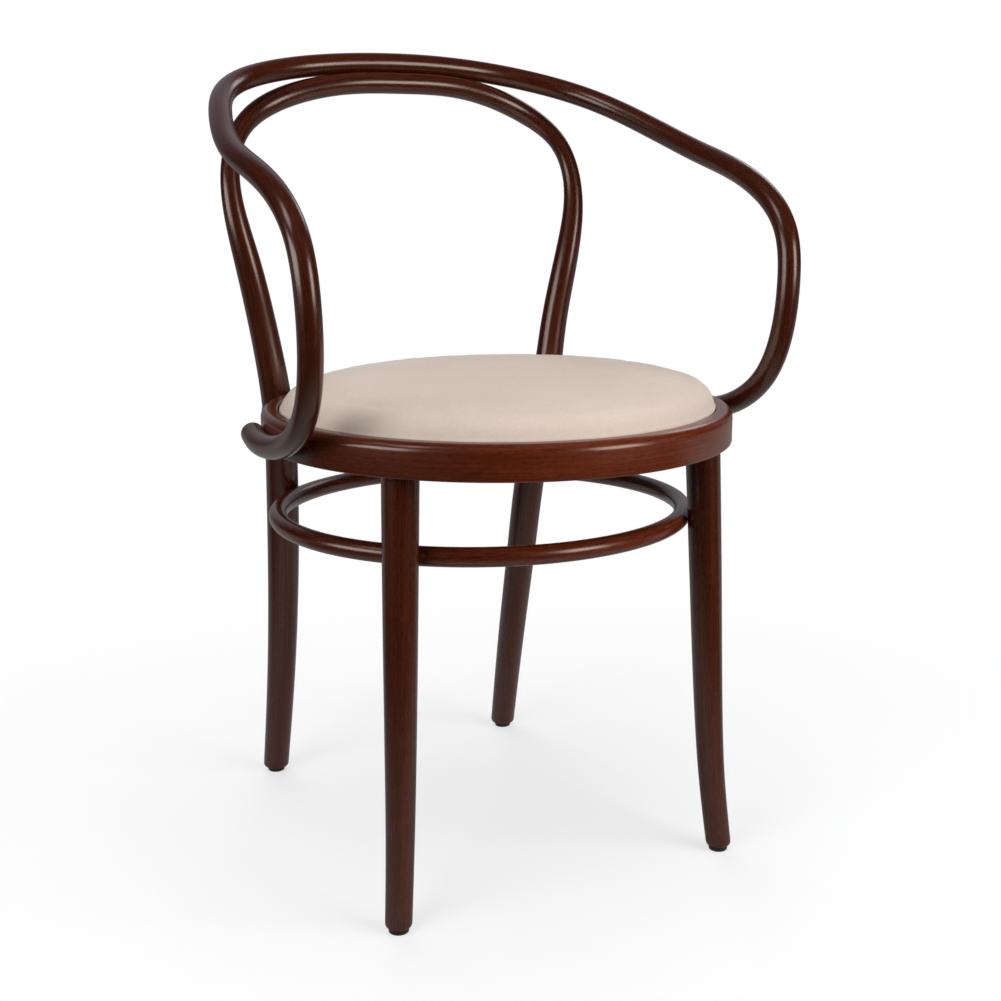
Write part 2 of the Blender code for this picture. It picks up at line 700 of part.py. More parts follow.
def build():
    ring = finish(turned("seat_ring", ring_profile(), RING_STEPS, closed=True), WALNUT)
    bow_path = through(mirrored(bow_half()), BOW_POINTS)
    bow = rod("outer_bow", rounded_ends(bow_path, BOW_END_ROUND))
    back_path = through(mirrored(back_half(bow_path)), BACK_POINTS)
    half_back = back_path[BACK_POINTS // 2:]
    right_leg = with_foot(half_back)
    left_leg = right_leg[:0:-1] * MIRROR
    back_frame = rod("back_frame", np.vstack([left_leg, right_leg]))
    cut(saddle_envelope(), bow, back_frame)
    front_path = with_foot(with_tenon(through(front_stations(), LEG_POINTS)))
    front_legs = {}
    for side, sign in (("left", -1.0), ("right", 1.0)):
        leg = rod(f"front_leg_{side}", front_path * MIRROR if sign < 0 else front_path)
        front_legs[side] = leg
        x, y = sign * front_path[0][0], front_path[0][1]
        socket = Matrix.Translation((x, y, SEAT_RING_BASE)) @ Matrix.Rotation(math.pi, 4, "X")
        radius = TENON_DIAMETER / 2 + CLEARANCE
        plain_hole(f"socket_{side}", radius, TENON_LENGTH + CLEARANCE, socket, ring)
        for place, (foot_x, foot_y), rod_piece in (
            ("front", front_foot(), leg),
            ("back", back_foot(), back_frame),
        ):
            add_glide(f"{place}_glide_{side}", sign * foot_x, foot_y, rod_piece)
        post = at_height(half_back, JOINT_HEIGHT)
        add_back_bolt(side, sign, post, ring, back_frame)
    board, cover = add_pad()
    add_top_screws(bow, back_frame, bow_path)
    add_arm_screws(ring, bow)
    add_seat_screws(ring, board, cover)
    add_stretcher(front_path, half_back, back_frame, front_legs)
    rear = back_foot()[1] + BACK_FOOT_DIAMETER / 2
    ROOT.location.y = (SEAT_RADIUS - rear) / 2


build()
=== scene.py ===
"""Looks of the bentwood armchair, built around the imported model.

Metres, +Z up. The sitter faces -Y, and left and right are as seen from the front.
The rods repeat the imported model's centre lines, with round sections and with grain that
follows each bend. Places below are measured from the seat's own axis, as in the model,
and each piece is then set back by the seat's shift.
"""

import math

import bmesh
import bpy
import numpy as np
from mathutils import Matrix, Vector


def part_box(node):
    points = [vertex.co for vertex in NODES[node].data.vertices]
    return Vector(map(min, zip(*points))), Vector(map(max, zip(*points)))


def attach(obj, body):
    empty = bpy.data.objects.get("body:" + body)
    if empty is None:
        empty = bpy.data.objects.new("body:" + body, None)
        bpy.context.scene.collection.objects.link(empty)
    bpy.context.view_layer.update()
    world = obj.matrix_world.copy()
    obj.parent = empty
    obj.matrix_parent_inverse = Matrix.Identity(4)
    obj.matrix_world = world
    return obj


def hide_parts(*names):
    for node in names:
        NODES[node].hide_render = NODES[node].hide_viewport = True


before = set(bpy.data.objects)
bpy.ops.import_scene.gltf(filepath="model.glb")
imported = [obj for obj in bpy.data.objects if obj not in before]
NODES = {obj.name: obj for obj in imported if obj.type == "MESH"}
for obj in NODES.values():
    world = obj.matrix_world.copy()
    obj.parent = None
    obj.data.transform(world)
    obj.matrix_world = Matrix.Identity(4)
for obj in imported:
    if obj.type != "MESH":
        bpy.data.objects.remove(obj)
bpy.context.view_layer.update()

# Fit between pieces that touch
CLEARANCE = 0.0003

# Seat ring
SEAT_RADIUS = 0.220
SEAT_RING_BASE = 0.4035
SEAT_RING_HEIGHT = 0.031
SEAT_RING_WIDTH = 0.044
LEDGE_HEIGHT = 0.019
RIM_WIDTH = 0.0155
RIM_ROUND = 0.008
RING_EASE = 0.0015
WELL_EASE = 0.001

# Seat pad
PAD_GAP = 0.001
FOAM_EDGE_HEIGHT = 0.020
PAD_EDGE_ROUND = 0.0195
PAD_START_CROWN = 0.0105
PAD_SWELL = 0.003
PAD_LEAN = 0.012
PAD_SLIP = 0.0012
PAD_DRAW_IN = 0.0015
BOARD_THICKNESS = 0.009
COVER_THICKNESS = 0.0014
HEM_SETBACK = 0.008
DUST_COVER_THICKNESS = 0.0008

# Outer bow
BOW_DIAMETER = 0.0212
BOW_TOP = 0.753
BOW_OVERHANG = 0.0005
BOW_END_ROUND = 0.005
ARM_SPREAD = 0.0205
ARM_HEIGHT = 0.638
ARM_REST_FRONT = 0.063
ARM_REACH = 0.1305
ARM_MEET_ANGLE = 5.0
ARM_END_ANGLE = 14.0
ARM_END_RISE = 0.003
SADDLE_DEPTH = 0.0015

# Back frame
ARCH_DIAMETER = 0.021
ARCH_TOUCH_ANGLE = 65.0
ARCH_HUG_X = 0.060
ARCH_HUG_SLACK = 0.0004
ARCH_INSET = 0.030
SHOULDER_DIAMETER = 0.0185
BACK_POST_DIAMETER = 0.0304
BACK_POST_ANGLE = 48.9
BACK_LEG_DIAMETER = 0.0324
BACK_FOOT_DIAMETER = 0.027
BACK_LEG_DRAW_IN = 0.0116
BACK_LEG_RAKE = 0.0759

# Front legs
FRONT_LEG_ANGLE = 37.4
FRONT_LEG_SETBACK = 0.0045
FRONT_LEG_DIAMETER = 0.0324
FRONT_FOOT_DIAMETER = 0.024
FRONT_LEG_SPLAY = 0.0173
FRONT_LEG_RAKE = 0.021
TENON_DIAMETER = 0.020
TENON_LENGTH = 0.013

# Stretcher ring
STRETCHER_HEIGHT = 0.327
STRETCHER_DIAMETER = 0.0176
STRETCHER_INSET = 0.022

# Feet
GLIDE_DIAMETER = 0.018
GLIDE_HEIGHT = 0.0045
GLIDE_EASE = 0.0015
PIN_DIAMETER = 0.003
PIN_LENGTH = 0.014
FOOT_EASE = 0.003
LEG_END_LENGTH = 0.004

# Fasteners
SCREW_DIAMETER = 0.0042
SCREW_HEAD_HEIGHT = 0.0026
SCREW_SINK = 0.0008
SCREW_TIP_DIAMETER = 0.0014
FILLED_HEAD = 0.85
BOLT_DIAMETER = 0.006
BOLT_HEAD_HEIGHT = 0.0045
CROSS_ARM = 0.0021
CROSS_WIDTH = 0.0009
CROSS_DEPTH = 0.0014

# Bent shapes, as shares of each rod's own span, depth and height
BOW_SWEEP = (
    (0.45, 0.007, 0.057),
    (0.715, 0.098, 0.18),
    (0.833, 0.21, 0.296),
    (0.928, 0.40, 0.488),
    (1.002, 0.70, 0.769),
)
ARM_CURL = ((0.919, 0.805), (1.0, 0.585), (0.82, 0.2), (0.36, 0.036))
ARCH_SWEEP = ((0.79, 1.05, 0.909), (0.939, 0.635, 0.828), (1.0, 0.32, 0.722))
POST_SWEEP = ((0.76, -0.01, 0.48), (0.31, 0.0, 0.24))
BACK_LEG_SWEEP = ((0.575, 0.17, 0.82), (0.957, 0.422, 0.545), (1.097, 0.70, 0.27))
FRONT_LEG_SWEEP = ((0.25, 0.666), (0.5, 0.333), (0.69, 0.167))
BACK_LEG_TAPER = (1.0, 0.9, 0.5)
FRONT_LEG_TAPER = (0.75, 0.37, 0.15)

# Fineness of the meshes
BOW_POINTS = 301
BACK_POINTS = 321
LEG_POINTS = 90
STRETCHER_POINTS = 220
ROD_SIDES = 40
RING_STEPS = 240
PAD_SECTORS = 6
PAD_TOP_RINGS = 44
PAD_EDGE_STEPS = 12
CORNER_STEPS = 10
SMALL_STEPS = 32
OVAL_ROUNDS = 80
WELD = 1e-6
STEEP_START = 0.7
SMOOTH_ANGLE = 38.0

RING_TOP = SEAT_RING_BASE + SEAT_RING_HEIGHT
LEDGE_TOP = SEAT_RING_BASE + LEDGE_HEIGHT
JOINT_HEIGHT = SEAT_RING_BASE + LEDGE_HEIGHT / 2
RING_INNER = SEAT_RADIUS - SEAT_RING_WIDTH
WELL_RADIUS = SEAT_RADIUS - RIM_WIDTH
PAD_RADIUS = WELL_RADIUS - PAD_GAP
HEM_LOW = LEDGE_TOP + CLEARANCE
HEM_HIGH = HEM_LOW + COVER_THICKNESS
HEM_INNER = RING_INNER + HEM_SETBACK
BOARD_LOW = HEM_HIGH + CLEARANCE
BOARD_HIGH = BOARD_LOW + BOARD_THICKNESS
FOAM_LOW = BOARD_HIGH + CLEARANCE
LEG_FOOT_HEIGHT = GLIDE_HEIGHT + CLEARANCE
BOW_BACK = SEAT_RADIUS + BOW_OVERHANG
ARCH_HALF_SPAN = SEAT_RADIUS - ARCH_INSET
MIRROR = np.array([-1.0, 1.0, 1.0, 1.0])

# Cloth under the seat
CLOTH_RINGS = 12
CLOTH_SAG = 0.0012

# Cloth simulation of the pad
PAD_PRESSURE = 4.0
CLOTH_FRAMES = 20
HELD_RISE = 0.002
HELD_HEIGHT = BOARD_HIGH + HELD_RISE

# Camera that took the photograph
CAMERA_PLACE = (-0.6554, -1.2517, 0.6545)
CAMERA_WAY = (0.4612, 0.8595, -0.2204)
CAMERA_LENS = 53.73
CAMERA_SENSOR = 36.0

# Colours. The hoops carry painted light, paler towards their front right
WHITE = (1.0, 1.0, 1.0)
BLACK = (0.0, 0.0, 0.0)
WOOD_DARK = (0.036, 0.0056, 0.0016)
WOOD_MID = (0.058, 0.0098, 0.0028)
WOOD_LIGHT = (0.088, 0.0172, 0.0052)
WOOD_RAY = (0.085, 0.026, 0.009)
# Lighter copies of the beech for the legs and the hoops: partly their own tone, partly painted light
LEG_TONE_AND_PAINTED_LIGHT = 1.15
HOOP_TONE_AND_PAINTED_LIGHT = 1.7
# Painted light on the hoops: its way, the range over which it grows, and how much paler it makes them
HOOP_PAINTED_LIGHT_WAY = (0.5, -0.866, 0.0)
HOOP_PAINTED_LIGHT_RANGE = (0.11, 0.2)
HOOP_PAINTED_LIGHT = 1.45
LACQUER_TINT = (1.0, 0.87, 0.79, 1.0)
LEATHER_SHADE = (0.650, 0.540, 0.462)
LEATHER_LIGHT = (0.695, 0.582, 0.500)
LEATHER_FLECK = (0.95, 0.945, 0.94)
STEEL_DARK = (0.42, 0.42, 0.43)
STEEL_LIGHT = (0.62, 0.62, 0.62)
PLASTIC_DARK = (0.026, 0.013, 0.009)
PLASTIC_SCUFFED = (0.060, 0.036, 0.028)
PLYWOOD_DARK = (0.50, 0.33, 0.18)
PLYWOOD_LIGHT = (0.66, 0.48, 0.29)
PLY_SHADE = (0.8, 0.74, 0.68)
THREAD_DARK = (0.008, 0.008, 0.009)
THREAD_LIGHT = (0.035, 0.035, 0.038)

# Wood grain: scales across, across and along the rod, and how far each mark darkens it
STREAK_SCALE = (430.0, 430.0, 9.0)
BAND_SCALE = (70.0, 70.0, 2.6)
FLECK_SCALE = (760.0, 760.0, 85.0)
PORE_SCALE = (1700.0, 1700.0, 150.0)
BAND_SHADE = (0.80, 0.76, 0.74)
FLECK_SHADE = (0.58, 0.52, 0.50)
PORE_SHADE = (0.45, 0.40, 0.38)
MARK_SHARE = 0.8

# Scales of the other surfaces
LEATHER_CELLS = 620.0
PLIES = 105.0
THREADS = 320.0

# Gloss: specular level, roughness from end to end, and depth and strength of the bump
WOOD_SPECULAR = 0.84
WOOD_COAT = 0.04
WOOD_COAT_ROUGHNESS = 0.2
WOOD_ROUGHNESS = (0.25, 0.22)
WOOD_BUMP = (0.0002, 0.006)
LEATHER_SPECULAR = 0.2
LEATHER_ROUGHNESS = (0.66, 0.58)
LEATHER_BUMP = (0.0003, 0.14)
STEEL_ROUGHNESS = (0.28, 0.44)
STEEL_BUMP = (0.0001, 0.1)
PLASTIC_ROUGHNESS = (0.42, 0.7)
PLASTIC_BUMP = (0.0002, 0.15)
PLYWOOD_BUMP = (0.0002, 0.2)
CLOTH_BUMP = (0.0003, 0.4)

# Studio: the room's light, and name, place, aim, size and brightness of each soft box
ROOM_COLOUR = (0.93, 1.03, 1.22, 1.0)
ROOM_DIM = 0.02
ROOM_BRIGHT = 0.36
ROOM_EDGE = 0.55
ROOM_FULL = 0.80
ROOM_LOW = 0.15
ROOM_HIGH = 0.60
ROOM_LOW_SHARE = 0.4
BACKDROP_EDGE = 0.8
BACKDROP_FULL = 0.97
BACKDROP_MIRRORED = 0.2
FLOOR_REACH = 40.0
FLOOR_NEAR = 0.3
FLOOR_FAR = 0.9
FLOOR_GLOW = 0.6
FLOOR_PAPER = 0.4
FLOOR_DIM = 0.03
MIRRORED_BOXES = (
    ("key", (-1.55, -0.05, 2.3), (0.0, 0.0, 0.45), (0.8, 0.8), 3.2),
    ("left", (-2.0, -0.13, 0.9), (0.0, 0.0, 0.9), (1.4, 0.8), 4.0),
    ("right", (0.94, -1.766, 1.0), (0.0, 0.0, 1.0), (0.8, 0.9), 5.4),
    ("back_right", (2.1, 1.3, 2.0), (0.0, 0.0, 0.45), (1.0, 0.7), 2.0),
)
MATT_BOXES = (
    ("top", (-0.1, -0.3, 2.6), (0.0, 0.0, 0.45), (2.2, 2.2), 2.0),
    ("left_fill", (-1.8, -0.85, 1.25), (0.0, 0.0, 0.5), (1.4, 1.2), 4.2),
    ("right_fill", (1.2, -1.7, 0.9), (0.0, 0.0, 0.5), (1.6, 1.2), 5.8),
    ("back_fill", (0.3, 2.2, 1.5), (0.0, 0.0, 0.5), (2.0, 1.4), 2.8),
)


def through(stations, count):
    """A natural cubic spline through the stations, read at count even steps along it."""
    stations = np.array(stations, dtype=float)
    spans = np.linalg.norm(np.diff(stations[:, :3], axis=0), axis=1)
    places = np.concatenate([[0.0], np.cumsum(spans)])
    slopes = np.diff(stations, axis=0) / spans[:, None]
    last = len(stations) - 1
    system = np.eye(last + 1)
    target = np.zeros_like(stations)
    for i in range(1, last):
        system[i, i - 1:i + 2] = spans[i - 1], 2 * (spans[i - 1] + spans[i]), spans[i]
        target[i] = 6 * (slopes[i] - slopes[i - 1])
    bends = np.linalg.solve(system, target)
    rows = []
    for place in np.linspace(0.0, places[-1], count):
        i = min(int(np.searchsorted(places, place, side="right")) - 1, last - 1)
        h = spans[i]
        a = (places[i + 1] - place) / h
        b = 1.0 - a
        curve = (a**3 - a) * bends[i] + (b**3 - b) * bends[i + 1]
        rows.append(a * stations[i] + b * stations[i + 1] + curve * h * h / 6)
    return np.array(rows)


def mirrored(half):
    """Stations of a whole rod from those of its +X half, which starts in the middle."""
    left = [(-x, y, z, radius) for x, y, z, radius in reversed(half[1:])]
    return left + list(half)


def on_ring(radius, degrees, height):
    angle = math.radians(degrees)
    return Vector((radius * math.cos(angle), radius * math.sin(angle), height))


def corner():
    """Angles of a rounded corner from level to upright."""
    return np.linspace(0.0, math.pi / 2, CORNER_STEPS + 1)


def at_height(path, height):
    """The lowest point of a descending path at a height, as x, y, z and radius."""
    rows = path[::-1]
    return np.array([np.interp(height, rows[:, 2], column) for column in rows.T])


def at_side(path, x):
    """The point of a symmetric rod at a small X, on its run outward from the middle."""
    right = path[len(path) // 2:]
    run = right[:int(np.argmax(right[:, 0])) + 1]
    return np.array([np.interp(x, run[:, 0], column) for column in run.T])


def bow_half():
    radius = BOW_DIAMETER / 2
    span = SEAT_RADIUS + ARM_SPREAD
    depth = BOW_BACK + ARM_REST_FRONT
    drop = BOW_TOP - ARM_HEIGHT
    rise = ARM_HEIGHT - JOINT_HEIGHT
    seat = SEAT_RADIUS + radius - SADDLE_DEPTH
    rows = [(0.0, BOW_BACK, BOW_TOP, radius)]
    for across, forward, down in BOW_SWEEP:
        rows.append((span * across, BOW_BACK - depth * forward, BOW_TOP - drop * down, radius))
    rows.append((span, -ARM_REST_FRONT, ARM_HEIGHT, radius))
    for forward, up in ARM_CURL:
        across = seat + (span - seat) * up
        rows.append((across, -ARM_REACH * forward, JOINT_HEIGHT + rise * up, radius))
    rows.append((*on_ring(seat, ARM_MEET_ANGLE, JOINT_HEIGHT), radius))
    rows.append((*on_ring(seat, ARM_END_ANGLE, JOINT_HEIGHT + ARM_END_RISE), radius))
    return rows


def rounded_ends(path, reach):
    """The path with its two flat ends rounded over the last stretch."""
    tail = path[-1]
    way = tail[:3] - path[-2][:3]
    way = way / np.linalg.norm(way)
    ends = (tail[:3], (tail * MIRROR)[:3])
    rows = [row for row in path if min(math.dist(row[:3], end) for end in ends) > reach]
    for angle in corner():
        back = reach * (1.0 - math.sin(angle))
        radius = tail[3] - reach * (1.0 - math.cos(angle))
        rows.append(np.array([*(tail[:3] - way * back), radius]))
        rows.insert(0, rows[-1] * MIRROR)
    return np.array(rows)


def touch_offset(slack=0.0):
    """From the bow's centre line down and forward to the arch that it rests on."""
    angle = math.radians(ARCH_TOUCH_ANGLE)
    reach = (BOW_DIAMETER + ARCH_DIAMETER) / 2 + CLEARANCE + slack
    return Vector((0.0, -reach * math.cos(angle), -reach * math.sin(angle)))


def back_post():
    """The middle of the right back post, where it is bolted to the seat ring."""
    reach = SEAT_RADIUS + BACK_POST_DIAMETER / 2 - SADDLE_DEPTH
    return on_ring(reach, BACK_POST_ANGLE, JOINT_HEIGHT)


def back_foot():
    """Where the right back leg stands, from the post above it."""
    post = back_post()
    return post.x - BACK_LEG_DRAW_IN, post.y + BACK_LEG_RAKE


def front_top():
    """The middle of the right front leg, just under the seat ring."""
    reach = (SEAT_RADIUS + RING_INNER) / 2 - FRONT_LEG_SETBACK
    return on_ring(reach, -FRONT_LEG_ANGLE, SEAT_RING_BASE - CLEARANCE - LEG_END_LENGTH)


def front_foot():
    """Where the right front leg stands, from its own top."""
    top = front_top()
    return top.x + FRONT_LEG_SPLAY, top.y - FRONT_LEG_RAKE


def back_half(bow_path):
    top = Vector((0.0, BOW_BACK, BOW_TOP)) + touch_offset()
    hug = Vector(at_side(bow_path, ARCH_HUG_X)[:3]) + touch_offset(ARCH_HUG_SLACK)
    post_radius = BACK_POST_DIAMETER / 2
    post = back_post()
    foot_x, foot_y = back_foot()
    thin, shoulder = ARCH_DIAMETER / 2, SHOULDER_DIAMETER / 2
    rows = [(*top, thin), (*hug, thin)]
    for (across, back, up), radius in zip(ARCH_SWEEP, (thin, shoulder, shoulder)):
        y = post.y + (top.y - post.y) * back
        z = post.z + (top.z - post.z) * up
        rows.append((ARCH_HALF_SPAN * across, y, z, radius))
    for across, back, up in POST_SWEEP:
        x = post.x + (ARCH_HALF_SPAN - post.x) * across
        y = post.y + (top.y - post.y) * back
        z = post.z + (top.z - post.z) * up
        rows.append((x, y, z, post_radius + (shoulder - post_radius) * up))
    rows.append((*post, post_radius))
    leg_radius, foot_radius = BACK_LEG_DIAMETER / 2, BACK_FOOT_DIAMETER / 2
    foot_z = LEG_FOOT_HEIGHT + LEG_END_LENGTH
    for (across, back, up), share in zip(BACK_LEG_SWEEP, BACK_LEG_TAPER):
        x = post.x + (foot_x - post.x) * across
        y = post.y + (foot_y - post.y) * back
        z = foot_z + (post.z - foot_z) * up
        rows.append((x, y, z, foot_radius + (leg_radius - foot_radius) * share))
    rows.append((foot_x, foot_y, foot_z, foot_radius))
    return rows


def front_stations():
    top = front_top()
    foot_x, foot_y = front_foot()
    leg_radius, foot_radius = FRONT_LEG_DIAMETER / 2, FRONT_FOOT_DIAMETER / 2
    foot_z = LEG_FOOT_HEIGHT + LEG_END_LENGTH
    rows = [(*top, leg_radius)]
    for (out, up), share in zip(FRONT_LEG_SWEEP, FRONT_LEG_TAPER):
        x = top.x + (foot_x - top.x) * out
        y = top.y + (foot_y - top.y) * out
        z = foot_z + (top.z - foot_z) * up
        rows.append((x, y, z, foot_radius + (leg_radius - foot_radius) * share))
    rows.append((foot_x, foot_y, foot_z, foot_radius))
    return rows


def with_foot(path):
    """The path with the short upright end that stands on the glide, its edge rounded off."""
    x, y, z, radius = path[-1]
    rows = []
    for angle in corner()[1:]:
        drop = (z - LEG_FOOT_HEIGHT) * math.sin(angle)
        rows.append((x, y, z - drop, radius - FOOT_EASE * (1.0 - math.cos(angle))))
    return np.vstack([path, rows])


def with_tenon(path):
    """The path with a square shoulder under the ring and a tenon in it."""
    x, y, z, radius = path[0]
    shoulder = SEAT_RING_BASE - CLEARANCE
    tenon = TENON_DIAMETER / 2
    step = CLEARANCE / 3
    top = [
        (x, y, shoulder + TENON_LENGTH, tenon),
        (x, y, shoulder + step, tenon),
        (x, y, shoulder, radius),
    ]
    return np.vstack([top, path])


def stretcher_oval(front, back):
    """Half width, half depth and centre of the oval that touches a front and a back leg."""
    half_width = SEAT_RADIUS - STRETCHER_INSET
    legs = (front, back)
    reaches = [leg[3] + STRETCHER_DIAMETER / 2 + CLEARANCE for leg in legs]
    normals = [Vector((leg[0], leg[1])).normalized() for leg in legs]
    for _ in range(OVAL_ROUNDS):
        points = [Vector(leg[:2]) - n * reach for leg, n, reach in zip(legs, normals, reaches)]
        rises = [math.sqrt(1.0 - (point.x / half_width) ** 2) for point in points]
        half_depth = (points[1].y - points[0].y) / (rises[0] + rises[1])
        centre = points[1].y - half_depth * rises[1]
        slopes = (-rises[0] / half_depth, rises[1] / half_depth)
        normals = [Vector((p.x / half_width**2, s)).normalized() for p, s in zip(points, slopes)]
    return half_width, half_depth, centre


SEAT_SHIFT = (SEAT_RADIUS - back_foot()[1] - BACK_FOOT_DIAMETER / 2) / 2
SEAT_FRAME = Matrix.Translation((0.0, SEAT_SHIFT, 0.0))


def new_piece(name, mesh, matrix=SEAT_FRAME):
    """An object whose mesh is set in place by matrix, smooth but for its real edges."""
    mesh.transform(matrix)
    mesh.shade_smooth()
    mesh.set_sharp_from_angle(angle=math.radians(SMOOTH_ANGLE))
    obj = bpy.data.objects.new(name, mesh)
    bpy.context.scene.collection.objects.link(obj)
    return obj


def set_grain(mesh, values):
    """Keeps, at each face corner, the place in the straight wood that the rod was bent from."""
    layer = mesh.attributes.new("grain", "FLOAT_VECTOR", "CORNER")
    layer.data.foreach_set("vector", np.asarray(values, dtype=np.float32).ravel())


def tube(name, rows, cyclic=False):
    """A round rod along rows of x, y, z and radius, with its grain running along it."""
    rows = np.asarray(rows, dtype=float)
    centres, radii = rows[:, :3], rows[:, 3]
    count = len(rows)
    if cyclic:
        ahead = np.roll(centres, -1, axis=0) - np.roll(centres, 1, axis=0)
    else:
        ahead = np.gradient(centres, axis=0)
    ahead /= np.linalg.norm(ahead, axis=1)[:, None]
    side = np.array([0.0, 0.0, 1.0]) if abs(ahead[0][2]) < STEEP_START else np.array([1.0, 0.0, 0.0])
    turns = np.arange(ROD_SIDES) * 2 * math.pi / ROD_SIDES
    verts = []
    for centre, radius, way in zip(centres, radii, ahead):
        side = side - way * side.dot(way)
        side /= np.linalg.norm(side)
        up = np.cross(way, side)
        ring = np.outer(np.cos(turns), side) + np.outer(np.sin(turns), up)
        verts.append(centre + radius * ring)
    loop = np.vstack([centres, centres[:1]])
    places = np.concatenate([[0.0], np.cumsum(np.linalg.norm(np.diff(loop, axis=0), axis=1))])
    spans = count if cyclic else count - 1
    i, j = np.meshgrid(np.arange(spans), np.arange(ROD_SIDES), indexing="ij")
    after = (j + 1) % ROD_SIDES
    corners = [(i, j), (i, after), (i + 1, after), (i + 1, j)]
    faces = np.stack([(a % count) * ROD_SIDES + b for a, b in corners], axis=-1).reshape(-1, 4)
    grain = np.stack([rod_grain(radii[a % count], turns[b], places[a]) for a, b in corners], axis=2)
    faces, grain = faces.tolist(), grain.reshape(-1, 3)
    if not cyclic:
        first, last = np.arange(ROD_SIDES)[::-1], np.arange(ROD_SIDES)
        faces += [first.tolist(), (last + (count - 1) * ROD_SIDES).tolist()]
        ends = [rod_grain(radii[0], turns[first], places[0])]
        ends.append(rod_grain(radii[-1], turns[last], places[count - 1]))
        grain = np.vstack([grain, *ends])
    mesh = bpy.data.meshes.new(name)
    mesh.from_pydata(np.vstack(verts).tolist(), [], faces)
    set_grain(mesh, grain)
    return new_piece(name, mesh)


def rod_grain(radius, turn, place):
    """Across the rod twice and along it, in metres."""
    across, up = radius * np.cos(turn), radius * np.sin(turn)
    return np.stack(np.broadcast_arrays(across, up, place), axis=-1)


def lathe(name, profile, steps, closed=False, matrix=SEAT_FRAME):
    """A body turned about Z. The profile runs down its outer side. Its grain runs around it."""
    profile = np.asarray(profile, dtype=float)
    count = len(profile)
    radius, height = profile[:, 0], profile[:, 1]
    outer = radius.max()
    turns = np.arange(steps + 1) * 2 * math.pi / steps
    verts = []
    for turn in turns[:-1]:
        verts.append(np.stack([radius * math.cos(turn), radius * math.sin(turn), height], axis=1))
    spans = count if closed else count - 1
    k, i = np.meshgrid(np.arange(steps), np.arange(spans), indexing="ij")
    after = (i + 1) % count
    corners = [(k, i), (k, after), (k + 1, after), (k + 1, i)]
    faces = np.stack([(a % steps) * count + b for a, b in corners], axis=-1).reshape(-1, 4)
    grain = [np.stack([radius[b] - outer, height[b], turns[a] * outer], axis=-1) for a, b in corners]
    mesh = bpy.data.meshes.new(name)
    mesh.from_pydata(np.vstack(verts).tolist(), [], faces.tolist())
    set_grain(mesh, np.stack(grain, axis=2).reshape(-1, 3))
    shell = bmesh.new()
    shell.from_mesh(mesh)
    bmesh.ops.remove_doubles(shell, verts=shell.verts, dist=WELD)
    shell.to_mesh(mesh)
    shell.free()
    return new_piece(name, mesh, matrix)


def belongs(obj, slot, *nodes):
    """Hands a piece to the chair's body, in place of the model's plain solids."""
    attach(obj, "root")
    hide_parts(*nodes)
    return obj


def ring_profile():
    outer = SEAT_RADIUS - RIM_ROUND
    rows = [(WELL_RADIUS, RING_TOP - WELL_EASE), (WELL_RADIUS + WELL_EASE, RING_TOP)]
    for angle in corner()[::-1]:
        drop = RIM_ROUND * (1.0 - math.sin(angle))
        rows.append((outer + RIM_ROUND * math.cos(angle), RING_TOP - drop))
    low, ease = SEAT_RING_BASE, RING_EASE
    for angle in corner()[::2]:
        rise, inset = ease * (1.0 - math.sin(angle)), ease * (1.0 - math.cos(angle))
        rows.append((SEAT_RADIUS - inset, low + rise))
    for angle in corner()[::-2]:
        rise, inset = ease * (1.0 - math.sin(angle)), ease * (1.0 - math.cos(angle))
        rows.append((RING_INNER + inset, low + rise))
    rows += [(RING_INNER, LEDGE_TOP), (WELL_RADIUS, LEDGE_TOP)]
    return rows


def build_rods():
    bow_path = through(mirrored(bow_half()), BOW_POINTS)
    bow = tube("outer_bow_rod", rounded_ends(bow_path, BOW_END_ROUND))
    back_path = through(mirrored(back_half(bow_path)), BACK_POINTS)
    half_back = back_path[BACK_POINTS // 2:]
    right_leg = with_foot(half_back)
    left_leg = right_leg[:0:-1] * MIRROR
    back = tube("back_frame_rod", np.vstack([left_leg, right_leg]))
    front_path = with_foot(with_tenon(through(front_stations(), LEG_POINTS)))
    legs = {}
    for side, sign in (("left", -1.0), ("right", 1.0)):
        legs[side] = tube(f"front_leg_{side}_rod", front_path * MIRROR if sign < 0 else front_path)
    front = at_height(front_path, STRETCHER_HEIGHT)
    rear = at_height(half_back, STRETCHER_HEIGHT)
    half_width, half_depth, centre = stretcher_oval(front, rear)
    oval = []
    for turn in np.linspace(0.0, 2 * math.pi, STRETCHER_POINTS, endpoint=False):
        x, y = half_width * math.cos(turn), centre + half_depth * math.sin(turn)
        oval.append((x, y, STRETCHER_HEIGHT, STRETCHER_DIAMETER / 2))
    stretcher = tube("stretcher_ring_rod", oval, cyclic=True)
    ring = lathe("seat_ring_hoop", ring_profile(), RING_STEPS, closed=True)
    return bow, back, legs, stretcher, ring


def pad_profile():
    """The pad's skin from its crown over the edge to the hem, and back under the foam."""
    flat = PAD_RADIUS - PAD_EDGE_ROUND
    shoulder = FOAM_LOW + FOAM_EDGE_HEIGHT + CLEARANCE + COVER_THICKNESS
    lean = math.atan(2 * PAD_START_CROWN / flat)
    turn = PAD_EDGE_ROUND / (1.0 - math.sin(lean))
    rows = []
    for share in np.linspace(0.0, 1.0, PAD_TOP_RINGS + 1):
        rows.append((flat * share, shoulder + PAD_START_CROWN * (1.0 - share**2)))
    for angle in np.linspace(lean, math.pi / 2, PAD_EDGE_STEPS + 1)[1:]:
        reach = flat + turn * (math.sin(angle) - math.sin(lean))
        rows.append((reach, shoulder - turn * (math.cos(lean) - math.cos(angle))))
    board = PAD_RADIUS - PAD_DRAW_IN - COVER_THICKNESS
    rows += [
        (PAD_RADIUS - PAD_DRAW_IN, HEM_LOW + COVER_THICKNESS),
        (PAD_RADIUS - PAD_DRAW_IN - COVER_THICKNESS / 2, HEM_LOW),
        (HEM_INNER, HEM_LOW),
        (HEM_INNER, HEM_HIGH),
        (board, HEM_HIGH),
        (board, FOAM_LOW),
    ]
    return rows


